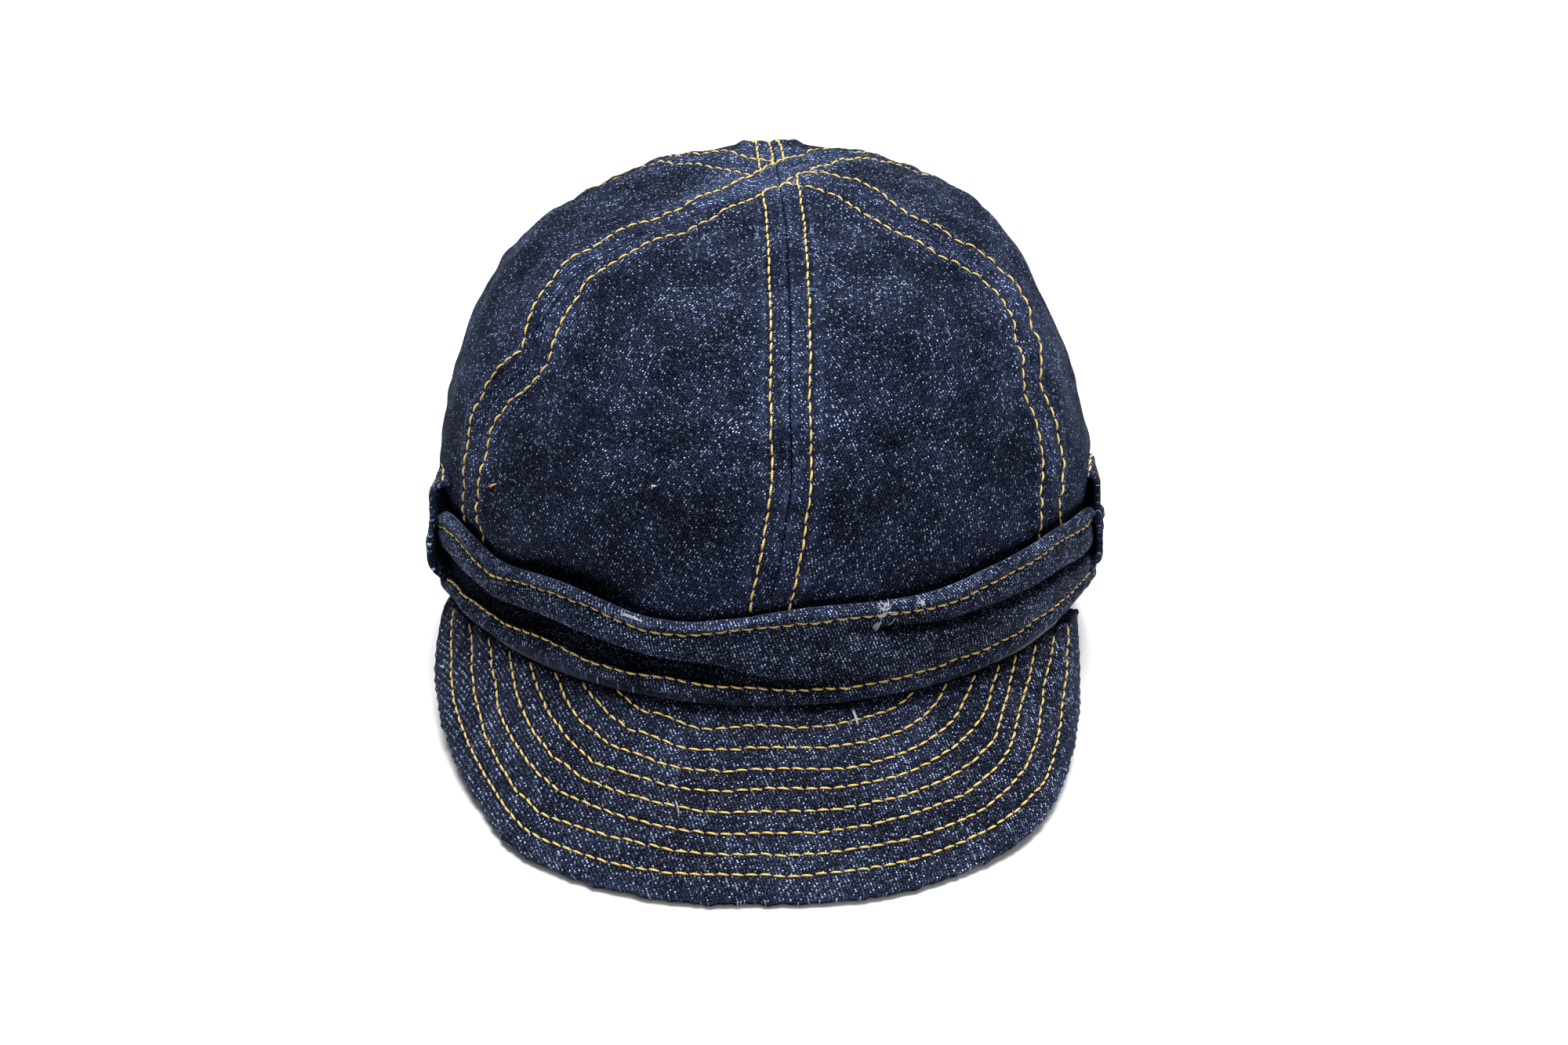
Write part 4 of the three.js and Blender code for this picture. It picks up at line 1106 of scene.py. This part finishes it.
loopRuns = []
for line in loopLines.values():
    side = np.linspace(-loop["stitchReach"], loop["stitchReach"], 24)
    for place in loop["stitchRows"]:
        at = np.full(len(side), place)
        path = line(at, side)
        facing = -outward(line, at, side, *slopeSteps["loop"])
        loopRuns.append((path + facing * loop["wall"], facing))
addStitches("loop_stitches", loopRuns)
print("stitches made")


# Bits of lint: the surface, two places on it for the head and the tail, number of fibres, spread at
# the head, radius, and how indigo and how tan they are
lintBits = [
    ("band", (18.5, 0.97), (17.5, 0.713), 26, 0.9, 0.07, 0, 0),
    ("band", (18.9, 0.98), (18.0, 0.90), 30, 1.2, 0.07, 0, 0),
    ("band", (24.4, 0.97), (25.2, 0.93), 14, 0.9, 0.055, 0, 0),
    ("band", (20.25, 0.85), (19.75, 0.738), 3, 0.15, 0.07, 0, 0),
    ("peak", (0.385, 0.066), (0.383, 0.15), 14, 0.4, 0.07, 0, 0),
    ("crown", (8.25, 0.682), (10.75, 0.682), 10, 0.22, 0.08, 1, 0),
    ("crown", (-53.25, 0.253), (-51.6, 0.262), 9, 0.35, 0.12, 0, 1),
    ("crown", (-19.4, 0.345), (-18.7, 0.347), 8, 0.3, 0.1, 0, 0.4),
    ("band", (-23.6, 0.97), (-20.4, 0.97), 22, 0.35, 0.045, 0, 0),
    ("peak", (0.56, 0.55), (0.555, 0.62), 4, 0.2, 0.05, 0, 0),
]
fray = dict(count=900, length=0.9, radius=0.045, indigo=0.75)


# Points and outward directions on one of the cap's outsides
def onSurface(kind, places):
    a, b = np.array(places, float).T
    if kind == "band":
        return bandFace(a, b), outward(bandFace, a, b, *slopeSteps["band"])
    if kind == "crown":
        return crownFace(a, b), outward(crownFace, a, b, *slopeSteps["crown"])
    normal = outward(peakUnderside, a, b, *slopeSteps["peak"])
    return peakUnderside(a, b) + normal * peakThickness, normal


# Fibres: four-sided tubes, each along an arc from a start to an end that bulges to one side, its
# radius a root of a sine along it
def fibreTubes(starts, bulges, ends, radius):
    count, rings, sides = len(starts), 6, 4
    t = np.linspace(0, 1, rings)[None, :, None]
    path = starts[:, None] * (1 - t) ** 2 + 2 * bulges[:, None] * t * (1 - t) + ends[:, None] * t ** 2
    ahead = unit(np.gradient(path, axis=1))
    side = unit(np.cross(ahead, np.array([0.3, 0.5, 0.8])))
    over = np.cross(side, ahead)
    turn = np.pi / 2 * np.arange(sides)[:, None]
    around = side[:, :, None] * np.cos(turn) + over[:, :, None] * np.sin(turn)
    thick = radius * np.sin(np.pi * np.clip(t, 0.06, 0.94)) ** 0.5
    points = path[:, :, None] + around * thick[..., None]
    return points.reshape(-1, 3), tubeFaces(count, rings, sides)


# Lint on the cloth and frayed fibres along the peak's edge, as one piece
def addLint():
    rng = np.random.default_rng(900)
    bodies, colours = [], []
    for kind, head, tail, count, spread, radius, *colour in lintBits:
        (start, end), normals = onSurface(kind, [head, tail])
        scatter = rng.normal(size=(3, count, 3)) * np.array([spread, spread, spread * 0.45])[:, None, None]
        up = normals[0] * 0.35
        starts, ends = start + scatter[0] * 0.8 + up, end + scatter[2] * 0.8 + up * 0.7
        bulges = (start + end) / 2 + scatter[1] + up * 2.2
        bodies.append(fibreTubes(starts, bulges, ends, radius))
        colours.append(colour)
    u = rng.uniform(0.02, 0.98, fray["count"])
    edge, inside = peakUnderside(u, np.ones(len(u))), peakUnderside(u, np.full(len(u), 0.97))
    out = unit(edge - inside)
    rise = rng.uniform(0, 1, len(u))[:, None] * peakThickness * np.array([0, 0, 1])
    starts = edge - out * 0.5 + rise
    reach = fray["length"] * rng.uniform(0.3, 1.0, len(u))[:, None]
    ends = starts + out * (reach + 0.4) + rng.normal(size=(len(u), 3)) * 0.35
    ends[:, 2] = np.maximum(ends[:, 2], starts[:, 2] * 0.8)
    bulges = (starts + ends) / 2 + rng.normal(size=(len(u), 3)) * 0.15
    bodies.append(fibreTubes(starts, bulges, ends, fray["radius"]))
    colours.append([fray["indigo"], 0])
    points, faces = joined(bodies)
    indigo, tan = np.repeat(np.array(colours, float), [len(body[0]) for body in bodies], axis=0).T
    addPiece(
        "lint_fibres", points, faces, points[faces][..., :2], cottonLint, "lint",
        indigo=indigo, tan=tan,
    )


addLint()
print("lint made")


view = dict(
    place=(0.00065, -0.8122, 0.4445), target=(0.00065, -0.00324, 0.05), lens=78.26,
    shift=(0.011, -0.00725),
)
studio = dict(
    world=0.42, floorSize=6.0, floorColour=(0.60, 0.60, 0.605, 1),
    key=dict(place=(0.06, -0.02, 1.4), size=1.1, power=64.0),
    fill=dict(place=(0.45, -1.15, 1.05), size=0.8, power=6.0),
)


# Round area light that faces the cap
def softLight(name, place, size, power):
    light = bpy.data.lights.new(name, "AREA")
    light.shape, light.size, light.energy = "DISK", size, power
    lamp = bpy.data.objects.new(name, light)
    lamp.location = place
    lamp.rotation_euler = Vector(-np.array(place)).to_track_quat("-Z", "Y").to_euler()
    bpy.context.scene.collection.objects.link(lamp)


# Pale floor, soft lights, world and camera
def studioSet():
    half = studio["floorSize"] / 2
    mesh = bpy.data.meshes.new("floor")
    corners = [(-half, -half, 0), (half, -half, 0), (half, half, 0), (-half, half, 0)]
    mesh.from_pydata(corners, [], [(0, 1, 2, 3)])
    material, add, mix, noise, *_ = shaderTools("floor")
    place = add("TexCoord", {}, output="Object")
    colour = mix(noise(place, 0.4), studio["floorColour"], (0.62, 0.62, 0.62, 1))
    addSurface(add, {"Base Color": colour, "Roughness": 0.9, "Specular IOR Level": 0.1})
    mesh.materials.append(material)
    floor = bpy.data.objects.new("floor", mesh)
    bpy.context.scene.collection.objects.link(floor)
    world = bpy.data.worlds.new("studio")
    world.use_nodes = True
    world.node_tree.nodes["Background"].inputs[0].default_value = (1, 1, 1, 1)
    world.node_tree.nodes["Background"].inputs[1].default_value = studio["world"]
    bpy.context.scene.world = world
    for name in ("key", "fill"):
        softLight(name, **studio[name])
    camera = bpy.data.objects.new("camera", bpy.data.cameras.new("camera"))
    camera.location = view["place"]
    aim = Vector(view["target"]) - Vector(view["place"])
    camera.rotation_euler = aim.to_track_quat("-Z", "Y").to_euler()
    camera.data.lens = view["lens"]
    camera.data.shift_x, camera.data.shift_y = view["shift"]
    bpy.context.scene.collection.objects.link(camera)
    bpy.context.scene.camera = camera
    bpy.context.scene.view_settings.view_transform = "Standard"


studioSet()
print("studio made")
